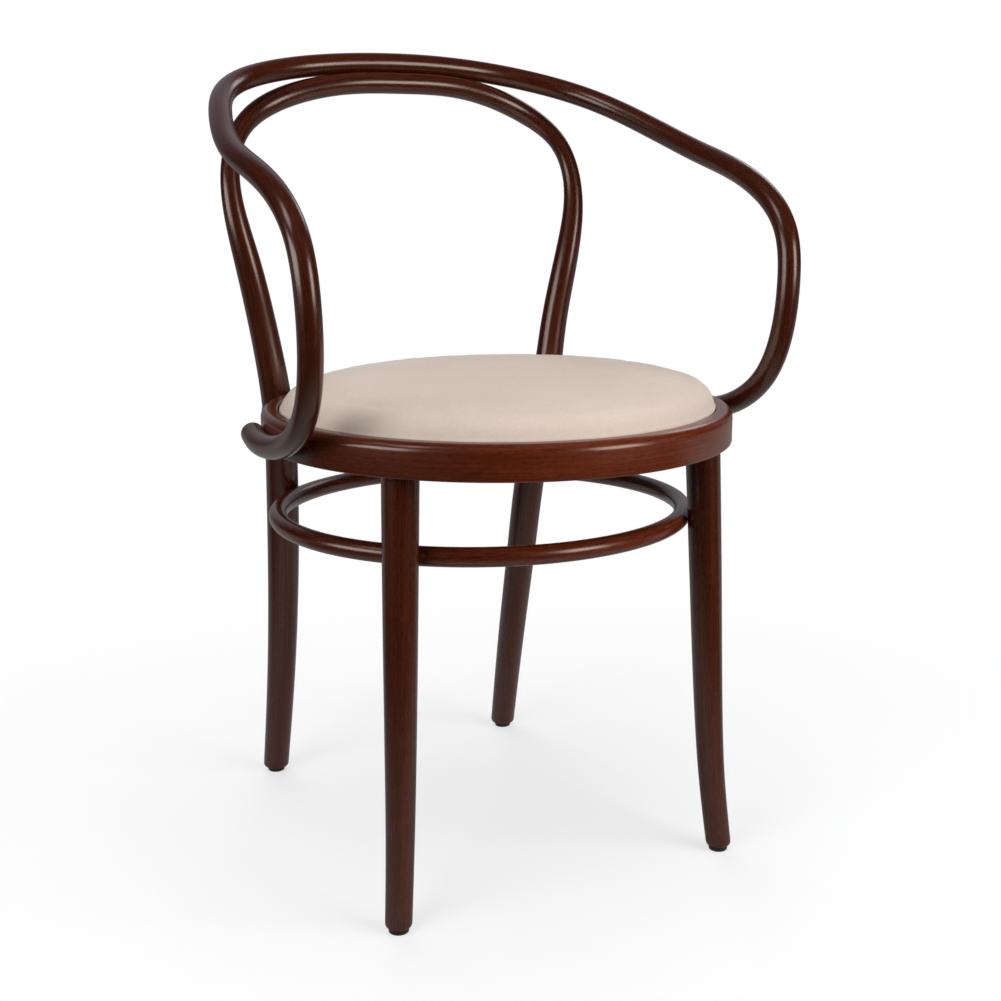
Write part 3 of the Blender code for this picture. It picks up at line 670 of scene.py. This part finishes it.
def build_pad():
    """The padded seat: even triangles over the top, then the drawn-in side, hem and underside."""
    profile = pad_profile()
    verts, starts, counts = [], [], []
    for k, (reach, height) in enumerate(profile):
        count = max(PAD_SECTORS * min(k, PAD_TOP_RINGS), 1)
        starts.append(len(verts))
        counts.append(count)
        for turn in np.arange(count) * 2 * math.pi / count:
            verts.append((reach * math.cos(turn), reach * math.sin(turn), height))
    faces = []
    for k in range(len(profile) - 1):
        faces += band(starts[k], counts[k], starts[k + 1], counts[k + 1])
    faces.append([starts[-1] + n for n in range(counts[-1])][::-1])
    mesh = bpy.data.meshes.new("seat_pad")
    mesh.from_pydata(verts, [], faces)
    return new_piece("seat_pad", mesh)


def band(inner, inner_count, outer, outer_count):
    """Faces between two rings of points, the second further out or lower down."""
    if inner_count == outer_count:
        after = [(n + 1) % inner_count for n in range(inner_count)]
        return [(inner + n, outer + n, outer + m, inner + m) for n, m in enumerate(after)]
    faces = []
    sector = outer_count // PAD_SECTORS
    for n in range(outer_count):
        part, step = divmod(n, sector)
        here = (part * (sector - 1) + step) % inner_count
        before = (here - 1) % inner_count
        after = (n + 1) % outer_count
        faces.append((inner + here, outer + n, outer + after))
        if step > 0:
            faces.append((inner + before, outer + n, inner + here))
    return faces


def inflate(pad):
    """Swells the cover over its foam with a cloth simulation, held round its side and hem."""
    mesh = pad.data
    start = np.zeros(len(mesh.vertices) * 3)
    mesh.vertices.foreach_get("co", start)
    start = start.reshape(-1, 3)
    held = pad.vertex_groups.new(name="held")
    for number, height in enumerate(start[:, 2]):
        if height < HELD_HEIGHT:
            held.add([number], 1.0, "REPLACE")
    cloth = pad.modifiers.new("cloth", "CLOTH")
    cloth.settings.vertex_group_mass = held.name
    cloth.settings.use_pressure = True
    cloth.settings.uniform_pressure_force = PAD_PRESSURE
    cloth.settings.effector_weights.gravity = 0.0
    cloth.collision_settings.use_collision = False
    cloth.point_cache.frame_end = CLOTH_FRAMES
    scene = bpy.context.scene
    for number in range(1, CLOTH_FRAMES + 1):
        scene.frame_set(number)
    evaluated = pad.evaluated_get(bpy.context.evaluated_depsgraph_get())
    swollen = np.zeros(len(start) * 3)
    evaluated.data.vertices.foreach_get("co", swollen)
    move = swollen.reshape(-1, 3) - start
    size = np.linalg.norm(move, axis=1)[:, None]
    move *= PAD_SWELL / (PAD_SWELL + size)
    pad.modifiers.remove(cloth)
    pad.vertex_groups.remove(held)
    scene.frame_set(1)
    mesh.vertices.foreach_set("co", (start + move).ravel())
    mesh.update()


def settle(pad):
    """Leans the pad a little in its ring, as in the photograph, with its hem left level."""
    across = Vector((CAMERA_WAY[1], -CAMERA_WAY[0], 0.0)).normalized()
    for vertex in pad.data.vertices:
        share = min(max((vertex.co.z - HEM_HIGH) / FOAM_EDGE_HEIGHT, 0.0), 1.0)
        reach = vertex.co.dot(across)
        vertex.co += across * (PAD_SLIP * share)
        vertex.co.z += PAD_LEAN * reach * share
    pad.data.update()


def screw_frame(node):
    """A fastener's own frame, Z out of its head, and its length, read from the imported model."""
    points = np.array([vertex.co for vertex in NODES[node].data.vertices])
    points = np.unique(points.round(6), axis=0)
    middle = points.mean(axis=0)
    axis = np.linalg.svd(points - middle)[2][0]
    along = (points - middle) @ axis
    spread = np.linalg.norm(points - middle - np.outer(along, axis), axis=1)
    if along[spread.argmax()] < 0:
        axis, along = -axis, -along
    turn = Vector(axis).to_track_quat("Z", "Y").to_matrix().to_4x4()
    head = Vector(middle + axis * along.max())
    return Matrix.Translation(head) @ turn, float(along.max() - along.min()), float(spread.max())


def screw_profile(length, head, grow=0.0, lift=0.0):
    """A countersunk wood screw, head at Z = 0 and point below, or the hole that takes it."""
    shank = SCREW_DIAMETER / 2 + grow
    return [
        (0.0, lift),
        (head + grow, lift),
        (head + grow, -SCREW_SINK),
        (shank, -SCREW_HEAD_HEIGHT - grow),
        (shank, SCREW_DIAMETER - length),
        (SCREW_TIP_DIAMETER / 2, -length - grow),
        (0.0, -length - grow),
    ]


def bolt_profile(length, head):
    """A dome-headed bolt, its dome's top at Z = 0."""
    rows = []
    for turn in corner()[::-1]:
        rows.append((head * math.cos(turn), BOLT_HEAD_HEIGHT * (math.sin(turn) - 1.0)))
    shank = BOLT_DIAMETER / 2
    return rows + [(shank, -BOLT_HEAD_HEIGHT), (shank, -length), (0.0, -length)]


def bolt_hole_profile(length, head):
    bore = BOLT_DIAMETER / 2 + CLEARANCE
    seat = -BOLT_HEAD_HEIGHT - CLEARANCE
    recess = head + CLEARANCE
    return [(0.0, head), (recess, head), (recess, seat), (bore, seat), (bore, -length), (0.0, -length)]


def carve(piece, cutters):
    """Cuts holes and notches, then keeps the cut mesh with its grain."""
    group = bpy.data.collections.new(piece.name + "_cutters")
    bpy.context.scene.collection.children.link(group)
    for tool in cutters:
        group.objects.link(tool)
    boolean = piece.modifiers.new("carve", "BOOLEAN")
    boolean.operation = "DIFFERENCE"
    boolean.solver = "EXACT"
    boolean.operand_type = "COLLECTION"
    boolean.collection = group
    graph = bpy.context.evaluated_depsgraph_get()
    evaluated = piece.evaluated_get(graph)
    mesh = bpy.data.meshes.new_from_object(evaluated, preserve_all_data_layers=True, depsgraph=graph)
    piece.modifiers.remove(boolean)
    piece.data = mesh
    mesh.name = piece.name
    mesh.set_sharp_from_angle(angle=math.radians(SMOOTH_ANGLE))
    bpy.data.collections.remove(group)
    for tool in cutters:
        bpy.data.objects.remove(tool)


def cross_slot(matrix):
    """The cross-shaped recess of a screw's head."""
    arm, side = CROSS_ARM, CROSS_WIDTH / 2
    quarter_points = [(arm, -side), (arm, side), (side, side)]
    outline = []
    for quarter in range(4):
        turn = Matrix.Rotation(quarter * math.pi / 2, 2)
        outline += [turn @ Vector(point) for point in quarter_points]
    count = len(outline)
    verts = [(*point, height) for height in (-CROSS_DEPTH, CROSS_DEPTH) for point in outline]
    faces = [list(range(count))[::-1], list(range(count, 2 * count))]
    for n in range(count):
        m = (n + 1) % count
        faces.append([n, m, count + m, count + n])
    mesh = bpy.data.meshes.new("cross")
    mesh.from_pydata(verts, [], faces)
    return new_piece("cross", mesh, matrix)


def add(tree, kind, links=None, **values):
    """A shader node, with its inputs set by name and linked."""
    made = tree.nodes.new(kind)
    for key, value in values.items():
        made.inputs[key.replace("_", " ")].default_value = value
    for key, socket in (links or {}).items():
        tree.links.new(socket, made.inputs[key])
    return made


def new_material(name, **values):
    """A material and its Principled shader, whose constant values are set on its own sockets."""
    material = bpy.data.materials.new(name)
    material.use_nodes = True
    tree = material.node_tree
    shader = tree.nodes["Principled BSDF"]
    for key, value in values.items():
        shader.inputs[key.replace("_", " ")].default_value = value
    return material, tree, shader


def scaled(tree, vector, scale):
    """Coordinates times a scale for each axis."""
    made = add(tree, "ShaderNodeVectorMath", {0: vector})
    made.operation = "MULTIPLY"
    made.inputs[1].default_value = scale
    return made.outputs["Vector"]


def noise(tree, vector, detail=3.0, roughness=0.55):
    values = {"Scale": 1.0, "Detail": detail, "Roughness": roughness}
    made = add(tree, "ShaderNodeTexNoise", {"Vector": vector}, **values)
    return made.outputs["Fac"]


def ramp(tree, value, *stops):
    """A colour ramp through (place, colour) stops."""
    made = add(tree, "ShaderNodeValToRGB", {"Fac": value})
    marks = made.color_ramp.elements
    while len(marks) < len(stops):
        marks.new(1.0)
    for mark, (place, colour) in zip(marks, stops):
        mark.position = place
        mark.color = (*colour, 1.0)
    return made.outputs["Color"]


def in_range(tree, value, low, high, to_low, to_high):
    made = add(tree, "ShaderNodeMapRange", {"Value": value})
    for key, number in (("From Min", low), ("From Max", high), ("To Min", to_low), ("To Max", to_high)):
        made.inputs[key].default_value = number
    return made.outputs["Result"]


def mix(tree, first, second, share, blend="MIX"):
    """Two colours mixed by a share. Each of the three is a plain value or a socket."""
    made = tree.nodes.new("ShaderNodeMixRGB")
    made.blend_type = blend
    for key, value in (("Fac", share), ("Color1", first), ("Color2", second)):
        if isinstance(value, (float, tuple)):
            made.inputs[key].default_value = value
        else:
            tree.links.new(value, made.inputs[key])
    return made.outputs["Color"]


def bump(tree, shader, height, distance, strength):
    made = add(tree, "ShaderNodeBump", {"Height": height}, Distance=distance, Strength=strength)
    tree.links.new(made.outputs["Normal"], shader.inputs["Normal"])


def stained_beech(name, brightness=1.0, painted_light=1.0):
    """Walnut-stained beech under satin lacquer: growth streaks, darker bands and short pores."""
    # Brightness scales every colour. The lighter copies it makes are partly tone and partly painted
    # light
    dark, middle, light, ray = [
        tuple(brightness * part for part in colour) for colour in (WOOD_DARK, WOOD_MID, WOOD_LIGHT, WOOD_RAY)
    ]
    material, tree, shader = new_material(
        name,
        Specular_IOR_Level=WOOD_SPECULAR,
        Specular_Tint=LACQUER_TINT,
        Coat_Weight=WOOD_COAT,
        Coat_Roughness=WOOD_COAT_ROUGHNESS,
    )
    grain = add(tree, "ShaderNodeAttribute")
    grain.attribute_name = "grain"
    place = grain.outputs["Vector"]
    streaks = noise(tree, scaled(tree, place, STREAK_SCALE), detail=3.0, roughness=0.6)
    bands = noise(tree, scaled(tree, place, BAND_SCALE), detail=2.0)
    flecks = noise(tree, scaled(tree, place, FLECK_SCALE), detail=2.0)
    pores = noise(tree, scaled(tree, place, PORE_SCALE), detail=1.0)
    colour = ramp(tree, streaks, (0.25, dark), (0.5, middle), (0.78, light))
    colour = mix(tree, colour, (*middle, 1.0), 0.25)
    shade = ramp(tree, bands, (0.32, BAND_SHADE), (0.68, WHITE))
    colour = mix(tree, colour, shade, 1.0, "MULTIPLY")
    dashes = ramp(tree, flecks, (0.3, FLECK_SHADE), (0.44, WHITE))
    colour = mix(tree, colour, dashes, MARK_SHARE, "MULTIPLY")
    specks = ramp(tree, pores, (0.3, PORE_SHADE), (0.42, WHITE))
    colour = mix(tree, colour, specks, MARK_SHARE, "MULTIPLY")
    rays = ramp(tree, flecks, (0.6, BLACK), (0.75, WHITE))
    colour = mix(tree, mix(tree, colour, (*ray, 1.0), rays), colour, 0.5)
    # Painted light: the colour grows paler towards one side of the piece, as if light fell there
    if painted_light != 1.0:
        side = add(tree, "ShaderNodeVectorMath", {0: add(tree, "ShaderNodeTexCoord").outputs["Object"]})
        side.operation = "DOT_PRODUCT"
        side.inputs[1].default_value = HOOP_PAINTED_LIGHT_WAY
        level = in_range(tree, side.outputs["Value"], *HOOP_PAINTED_LIGHT_RANGE, 1.0, painted_light)
        colour = mix(tree, colour, level, 1.0, "MULTIPLY")
    tree.links.new(colour, shader.inputs["Base Color"])
    tree.links.new(in_range(tree, streaks, 0.3, 0.7, *WOOD_ROUGHNESS), shader.inputs["Roughness"])
    bump(tree, shader, streaks, *WOOD_BUMP)
    return material


def cream_leather():
    """Smooth cream leather: fine pebbled grain, faint mottling and a soft gloss."""
    material, tree, shader = new_material("cream_leather", Specular_IOR_Level=LEATHER_SPECULAR)
    place = add(tree, "ShaderNodeTexCoord").outputs["Object"]
    cloud = noise(tree, scaled(tree, place, (9.0, 9.0, 9.0)), detail=3.0)
    fine = noise(tree, scaled(tree, place, (420.0, 420.0, 420.0)), detail=2.0)
    colour = ramp(tree, cloud, (0.3, LEATHER_SHADE), (0.7, LEATHER_LIGHT))
    flecked = ramp(tree, fine, (0.3, LEATHER_FLECK), (0.6, WHITE))
    colour = mix(tree, colour, flecked, 1.0, "MULTIPLY")
    tree.links.new(colour, shader.inputs["Base Color"])
    tree.links.new(in_range(tree, fine, 0.3, 0.7, *LEATHER_ROUGHNESS), shader.inputs["Roughness"])
    cells = add(tree, "ShaderNodeTexVoronoi", {"Vector": place}, Scale=LEATHER_CELLS)
    cells.feature = "SMOOTH_F1"
    bump(tree, shader, cells.outputs["Distance"], *LEATHER_BUMP)
    return material


def steel():
    """Zinc-plated steel with fine turning marks and a dull patina."""
    material, tree, shader = new_material("plated_steel", Metallic=1.0)
    place = add(tree, "ShaderNodeTexCoord").outputs["Object"]
    cloud = noise(tree, scaled(tree, place, (300.0, 300.0, 300.0)), detail=4.0)
    colour = ramp(tree, cloud, (0.3, STEEL_DARK), (0.7, STEEL_LIGHT))
    tree.links.new(colour, shader.inputs["Base Color"])
    tree.links.new(in_range(tree, cloud, 0.3, 0.7, *STEEL_ROUGHNESS), shader.inputs["Roughness"])
    scratch = noise(tree, scaled(tree, place, (2600.0, 2600.0, 300.0)), detail=2.0)
    bump(tree, shader, scratch, *STEEL_BUMP)
    return material


def dark_plastic():
    """Moulded dark brown plastic, scuffed a little lighter in places."""
    material, tree, shader = new_material("dark_plastic", Specular_IOR_Level=0.4)
    place = add(tree, "ShaderNodeTexCoord").outputs["Object"]
    scuffs = noise(tree, scaled(tree, place, (500.0, 500.0, 900.0)), detail=4.0)
    colour = ramp(tree, scuffs, (0.45, PLASTIC_DARK), (0.75, PLASTIC_SCUFFED))
    tree.links.new(colour, shader.inputs["Base Color"])
    tree.links.new(in_range(tree, scuffs, 0.4, 0.8, *PLASTIC_ROUGHNESS), shader.inputs["Roughness"])
    bump(tree, shader, scuffs, *PLASTIC_BUMP)
    return material


def plywood():
    """Birch plywood: pale face grain, with its plies in bands at the edge."""
    material, tree, shader = new_material("plywood", Roughness=0.75)
    place = add(tree, "ShaderNodeTexCoord").outputs["Object"]
    face = noise(tree, scaled(tree, place, (180.0, 9.0, 9.0)), detail=4.0)
    colour = ramp(tree, face, (0.3, PLYWOOD_DARK), (0.7, PLYWOOD_LIGHT))
    plies = add(tree, "ShaderNodeTexWave", {"Vector": place}, Scale=PLIES)
    plies.bands_direction = "Z"
    layers = ramp(tree, plies.outputs["Fac"], (0.4, PLY_SHADE), (0.6, WHITE))
    tree.links.new(mix(tree, colour, layers, 0.6, "MULTIPLY"), shader.inputs["Base Color"])
    bump(tree, shader, face, *PLYWOOD_BUMP)
    return material


def dark_cloth():
    """Thin black dust-cover cloth with a plain weave."""
    material, tree, shader = new_material("dark_cloth", Roughness=0.95, Specular_IOR_Level=0.15)
    place = add(tree, "ShaderNodeTexCoord").outputs["Object"]
    threads = []
    for direction in "XY":
        wave = add(tree, "ShaderNodeTexWave", {"Vector": place}, Scale=THREADS, Distortion=0.6)
        wave.bands_direction = direction
        threads.append(wave.outputs["Color"])
    weave = mix(tree, threads[0], threads[1], 0.5)
    cloud = noise(tree, scaled(tree, place, (30.0, 30.0, 30.0)))
    colour = ramp(tree, weave, (0.2, THREAD_DARK), (0.8, THREAD_LIGHT))
    dusty = ramp(tree, cloud, (0.35, (0.8, 0.8, 0.8)), (0.7, (1.3, 1.28, 1.25)))
    tree.links.new(mix(tree, colour, dusty, 1.0, "MULTIPLY"), shader.inputs["Base Color"])
    bump(tree, shader, weave, *CLOTH_BUMP)
    return material


def paint(obj, material):
    obj.data.materials.clear()
    obj.data.materials.append(material)


def build_glides():
    """Plain dark discs under the four legs, each with the pin that holds it."""
    disc, pin = GLIDE_DIAMETER / 2, PIN_DIAMETER / 2
    top = GLIDE_HEIGHT + PIN_LENGTH
    rows = [(0.0, top), (pin, top - PIN_DIAMETER), (pin, GLIDE_HEIGHT), (disc, GLIDE_HEIGHT)]
    for angle in corner()[::2]:
        inset = GLIDE_EASE * (1.0 - math.cos(angle))
        rows.append((disc - inset, GLIDE_EASE * (1.0 - math.sin(angle))))
    rows.append((0.0, 0.0))
    glides = []
    for place in ("front", "back"):
        for side in ("left", "right"):
            node = f"{place}_glide_{side}"
            low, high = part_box(node)
            middle = (low + high) / 2
            matrix = Matrix.Translation((middle.x, middle.y, 0.0))
            glide = lathe(node + "_disc", rows, SMALL_STEPS, matrix=matrix)
            glides.append(belongs(glide, "dark_plastic", node))
    return glides


def build_dust_cover():
    """The cloth under the board, stretched, with a slight sag in its middle."""
    high = BOARD_LOW - CLEARANCE
    reach = HEM_INNER - PAD_GAP
    shares = np.linspace(0.0, 1.0, CLOTH_RINGS + 1)
    sag = [CLOTH_SAG * (1.0 - share**2) for share in shares]
    upper = [(reach * share, high - drop) for share, drop in zip(shares, sag)]
    lower = [(r, z - DUST_COVER_THICKNESS) for r, z in upper]
    cloth = lathe("dust_cover_cloth", upper + lower[::-1], RING_STEPS // 2)
    belongs(cloth, "dark_cloth", "dust_cover")
    return cloth


def build_fasteners(pieces):
    """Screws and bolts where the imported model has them, and their holes in the wood.

    The stretcher's heads are filled over, so their holes end just under its surface.
    """
    metal, holes = [], {name: [] for name in pieces}
    for node in sorted(NODES):
        if "_screw_" in node:
            matrix, length, head = screw_frame(node)
            recess = 2 * head
            if node.startswith("stretcher"):
                head *= FILLED_HEAD
                recess = 0.0
            screw = lathe(node + "_body", screw_profile(length, head), SMALL_STEPS, matrix=matrix)
            carve(screw, [cross_slot(matrix)])
            hole = screw_profile(length, head, CLEARANCE, recess)
        elif "_bolt_" in node:
            matrix, length, head = screw_frame(node)
            screw = lathe(node + "_body", bolt_profile(length, head), SMALL_STEPS, matrix=matrix)
            hole = bolt_hole_profile(length, head)
        else:
            continue
        metal.append(belongs(screw, "steel", node))
        for name in pieces:
            if fastened(node, name):
                holes[name].append((hole, matrix))
    for name, piece in pieces.items():
        tools = []
        for number, (hole, matrix) in enumerate(holes[name]):
            tools.append(lathe(f"hole_{number}", hole, SMALL_STEPS, matrix=matrix))
        if name in ("outer_bow", "back_frame"):
            tools.append(lathe("ring_space", saddle_profile(), RING_STEPS))
        carve(piece, tools)
    return metal


FASTENED = {
    "outer_bow": ("top_screw", "arm_screw"),
    "back_frame": ("top_screw", "back_bolt", "stretcher_screw_back"),
    "front_leg_left": ("stretcher_screw_front_left",),
    "front_leg_right": ("stretcher_screw_front_right",),
    "stretcher_ring": ("stretcher_screw",),
    "seat_ring": ("back_bolt", "arm_screw", "seat_screw"),
}


def fastened(node, piece):
    return node.startswith(FASTENED[piece])


def saddle_profile():
    """The space of the seat ring, which the rods beside it are notched to fit."""
    radius = SEAT_RADIUS + CLEARANCE
    low, high = SEAT_RING_BASE - RIM_ROUND, RING_TOP + RIM_ROUND
    return [(0.0, high), (radius, high), (radius, low), (0.0, low)]


def area_light(name, place, aim, size, radiance):
    """A soft box of a given brightness, facing its aim."""
    lamp = bpy.data.lights.new(name, "AREA")
    lamp.shape = "RECTANGLE"
    lamp.size, lamp.size_y = size
    lamp.energy = radiance * math.pi * size[0] * size[1]
    obj = bpy.data.objects.new(name, lamp)
    obj.location = place
    obj.rotation_euler = (Vector(aim) - Vector(place)).to_track_quat("-Z", "Y").to_euler()
    obj.visible_camera = False
    bpy.context.scene.collection.objects.link(obj)
    return obj


def toward(tree, place):
    """How far a direction or place lies behind the chair, as the photograph sees it."""
    made = add(tree, "ShaderNodeVectorMath", {0: place})
    made.operation = "DOT_PRODUCT"
    made.inputs[1].default_value = Vector((CAMERA_WAY[0], CAMERA_WAY[1], 0.0)).normalized()
    return made.outputs["Value"]


def shows_white(tree, behind):
    """Where a ray sees the white background: from the camera, through glass or mirrored from behind."""
    path = add(tree, "ShaderNodeLightPath")
    through_glass = path.outputs["Is Transmission Ray"]
    either = add(tree, "ShaderNodeMath", {0: path.outputs["Is Camera Ray"], 1: through_glass})
    either.operation = "MAXIMUM"
    mirrored_share = add(tree, "ShaderNodeMath", {0: path.outputs["Is Glossy Ray"], 1: behind})
    mirrored_share.operation = "MULTIPLY"
    seen = add(tree, "ShaderNodeMath", {0: either.outputs["Value"], 1: mirrored_share.outputs["Value"]})
    seen.operation = "MAXIMUM"
    return seen.outputs["Value"]


def build_world():
    """White to the camera. To the object, a room that is dim in front and paler behind."""
    world = bpy.data.worlds.new("studio")
    bpy.context.scene.world = world
    world.use_nodes = True
    tree = world.node_tree
    way = add(tree, "ShaderNodeTexCoord").outputs["Generated"]
    ahead = toward(tree, way)
    level = in_range(tree, ahead, ROOM_EDGE, ROOM_FULL, ROOM_DIM, ROOM_BRIGHT)
    upward = add(tree, "ShaderNodeSeparateXYZ", {"Vector": way}).outputs["Z"]
    lift = in_range(tree, upward, ROOM_LOW, ROOM_HIGH, ROOM_LOW_SHARE, 1.0)
    lifted = add(tree, "ShaderNodeMath", {0: level, 1: lift})
    lifted.operation = "MULTIPLY"
    room = tree.nodes["Background"]
    room.inputs["Color"].default_value = ROOM_COLOUR
    tree.links.new(lifted.outputs["Value"], room.inputs["Strength"])
    white = add(tree, "ShaderNodeBackground", Color=(*WHITE, 1.0), Strength=1.0)
    behind = in_range(tree, ahead, BACKDROP_EDGE, BACKDROP_FULL, 0.0, BACKDROP_MIRRORED)
    blend = add(tree, "ShaderNodeMixShader", {"Fac": shows_white(tree, behind)})
    tree.links.new(room.outputs["Background"], blend.inputs[1])
    tree.links.new(white.outputs["Background"], blend.inputs[2])
    tree.links.new(blend.outputs["Shader"], tree.nodes["World Output"].inputs["Surface"])


def build_floor():
    """Pale paper that keeps the chair's shadow and runs out into white."""
    mesh = bpy.data.meshes.new("floor")
    shell = bmesh.new()
    bmesh.ops.create_grid(shell, x_segments=1, y_segments=1, size=FLOOR_REACH)
    shell.to_mesh(mesh)
    shell.free()
    floor = bpy.data.objects.new("floor", mesh)
    bpy.context.scene.collection.objects.link(floor)
    material = bpy.data.materials.new("floor_paper")
    material.use_nodes = True
    tree = material.node_tree
    tree.nodes.remove(tree.nodes["Principled BSDF"])
    place = add(tree, "ShaderNodeTexCoord").outputs["Object"]
    reach = add(tree, "ShaderNodeVectorMath", {0: place})
    reach.operation = "LENGTH"
    far = in_range(tree, reach.outputs["Value"], FLOOR_NEAR, FLOOR_FAR, 0.0, 1.0)
    tones = [(brightness, brightness, brightness) for brightness in (FLOOR_PAPER, FLOOR_DIM)]
    paper = ramp(tree, far, (0.0, tones[0]), (1.0, tones[1]))
    behind = in_range(tree, toward(tree, place), 0.0, FLOOR_NEAR, 0.0, BACKDROP_MIRRORED)
    seen = shows_white(tree, behind)
    matt = add(tree, "ShaderNodeBsdfDiffuse", {"Color": mix(tree, paper, (*WHITE, 1.0), seen)})
    glow = add(tree, "ShaderNodeEmission", Color=(*WHITE, 1.0), Strength=1.0)
    lit = in_range(tree, far, 0.0, 1.0, FLOOR_GLOW, 1.0)
    share = add(tree, "ShaderNodeMath", {0: seen, 1: lit})
    share.operation = "MULTIPLY"
    blend = add(tree, "ShaderNodeMixShader", {"Fac": share.outputs["Value"]})
    tree.links.new(matt.outputs["BSDF"], blend.inputs[1])
    tree.links.new(glow.outputs["Emission"], blend.inputs[2])
    tree.links.new(blend.outputs["Shader"], tree.nodes["Material Output"].inputs["Surface"])
    mesh.materials.append(material)


def build_camera():
    data = bpy.data.cameras.new("camera")
    data.lens = CAMERA_LENS
    data.sensor_width = CAMERA_SENSOR
    camera = bpy.data.objects.new("camera", data)
    camera.location = CAMERA_PLACE
    camera.rotation_euler = Vector(CAMERA_WAY).to_track_quat("-Z", "Y").to_euler()
    bpy.context.scene.collection.objects.link(camera)
    bpy.context.scene.camera = camera


def main():
    bow, back, legs, stretcher, ring = build_rods()
    pad = build_pad()
    inflate(pad)
    settle(pad)
    wooden = {"outer_bow": bow, "back_frame": back, "stretcher_ring": stretcher, "seat_ring": ring}
    for side, leg in legs.items():
        wooden[f"front_leg_{side}"] = leg
    metal = build_fasteners(wooden)
    beech = stained_beech("stained_beech")
    # The legs and hoops get lighter copies of the beech: partly their own tone, partly painted light
    leg_beech = stained_beech("stained_beech_leg", LEG_TONE_AND_PAINTED_LIGHT)
    # The hoops' copy also carries painted light, paler towards their front right
    hoop_beech = stained_beech("stained_beech_hoop", HOOP_TONE_AND_PAINTED_LIGHT, HOOP_PAINTED_LIGHT)
    hoop_materials = {"seat_ring": hoop_beech, "stretcher_ring": hoop_beech}
    for node, piece in wooden.items():
        belongs(piece, "walnut_stained_beech", node)
        plain = leg_beech if node.startswith("front_leg") else beech
        paint(piece, hoop_materials.get(node, plain))
    belongs(pad, "cream_leather", "seat_cover", "seat_foam")
    paint(pad, cream_leather())
    plastic = dark_plastic()
    for glide in build_glides():
        paint(glide, plastic)
    paint(build_dust_cover(), dark_cloth())
    plated = steel()
    for piece in metal:
        paint(piece, plated)
    for node in sorted(NODES):
        if node.startswith(("back_washer", "back_nut")):
            paint(NODES[node], plated)
    paint(NODES["seat_board"], plywood())
    build_floor()
    build_world()
    for box in MIRRORED_BOXES:
        area_light(*box).visible_diffuse = False
    for box in MATT_BOXES:
        area_light(*box).visible_glossy = False
    build_camera()
    view = bpy.context.scene.view_settings
    view.view_transform = "Standard"


main()
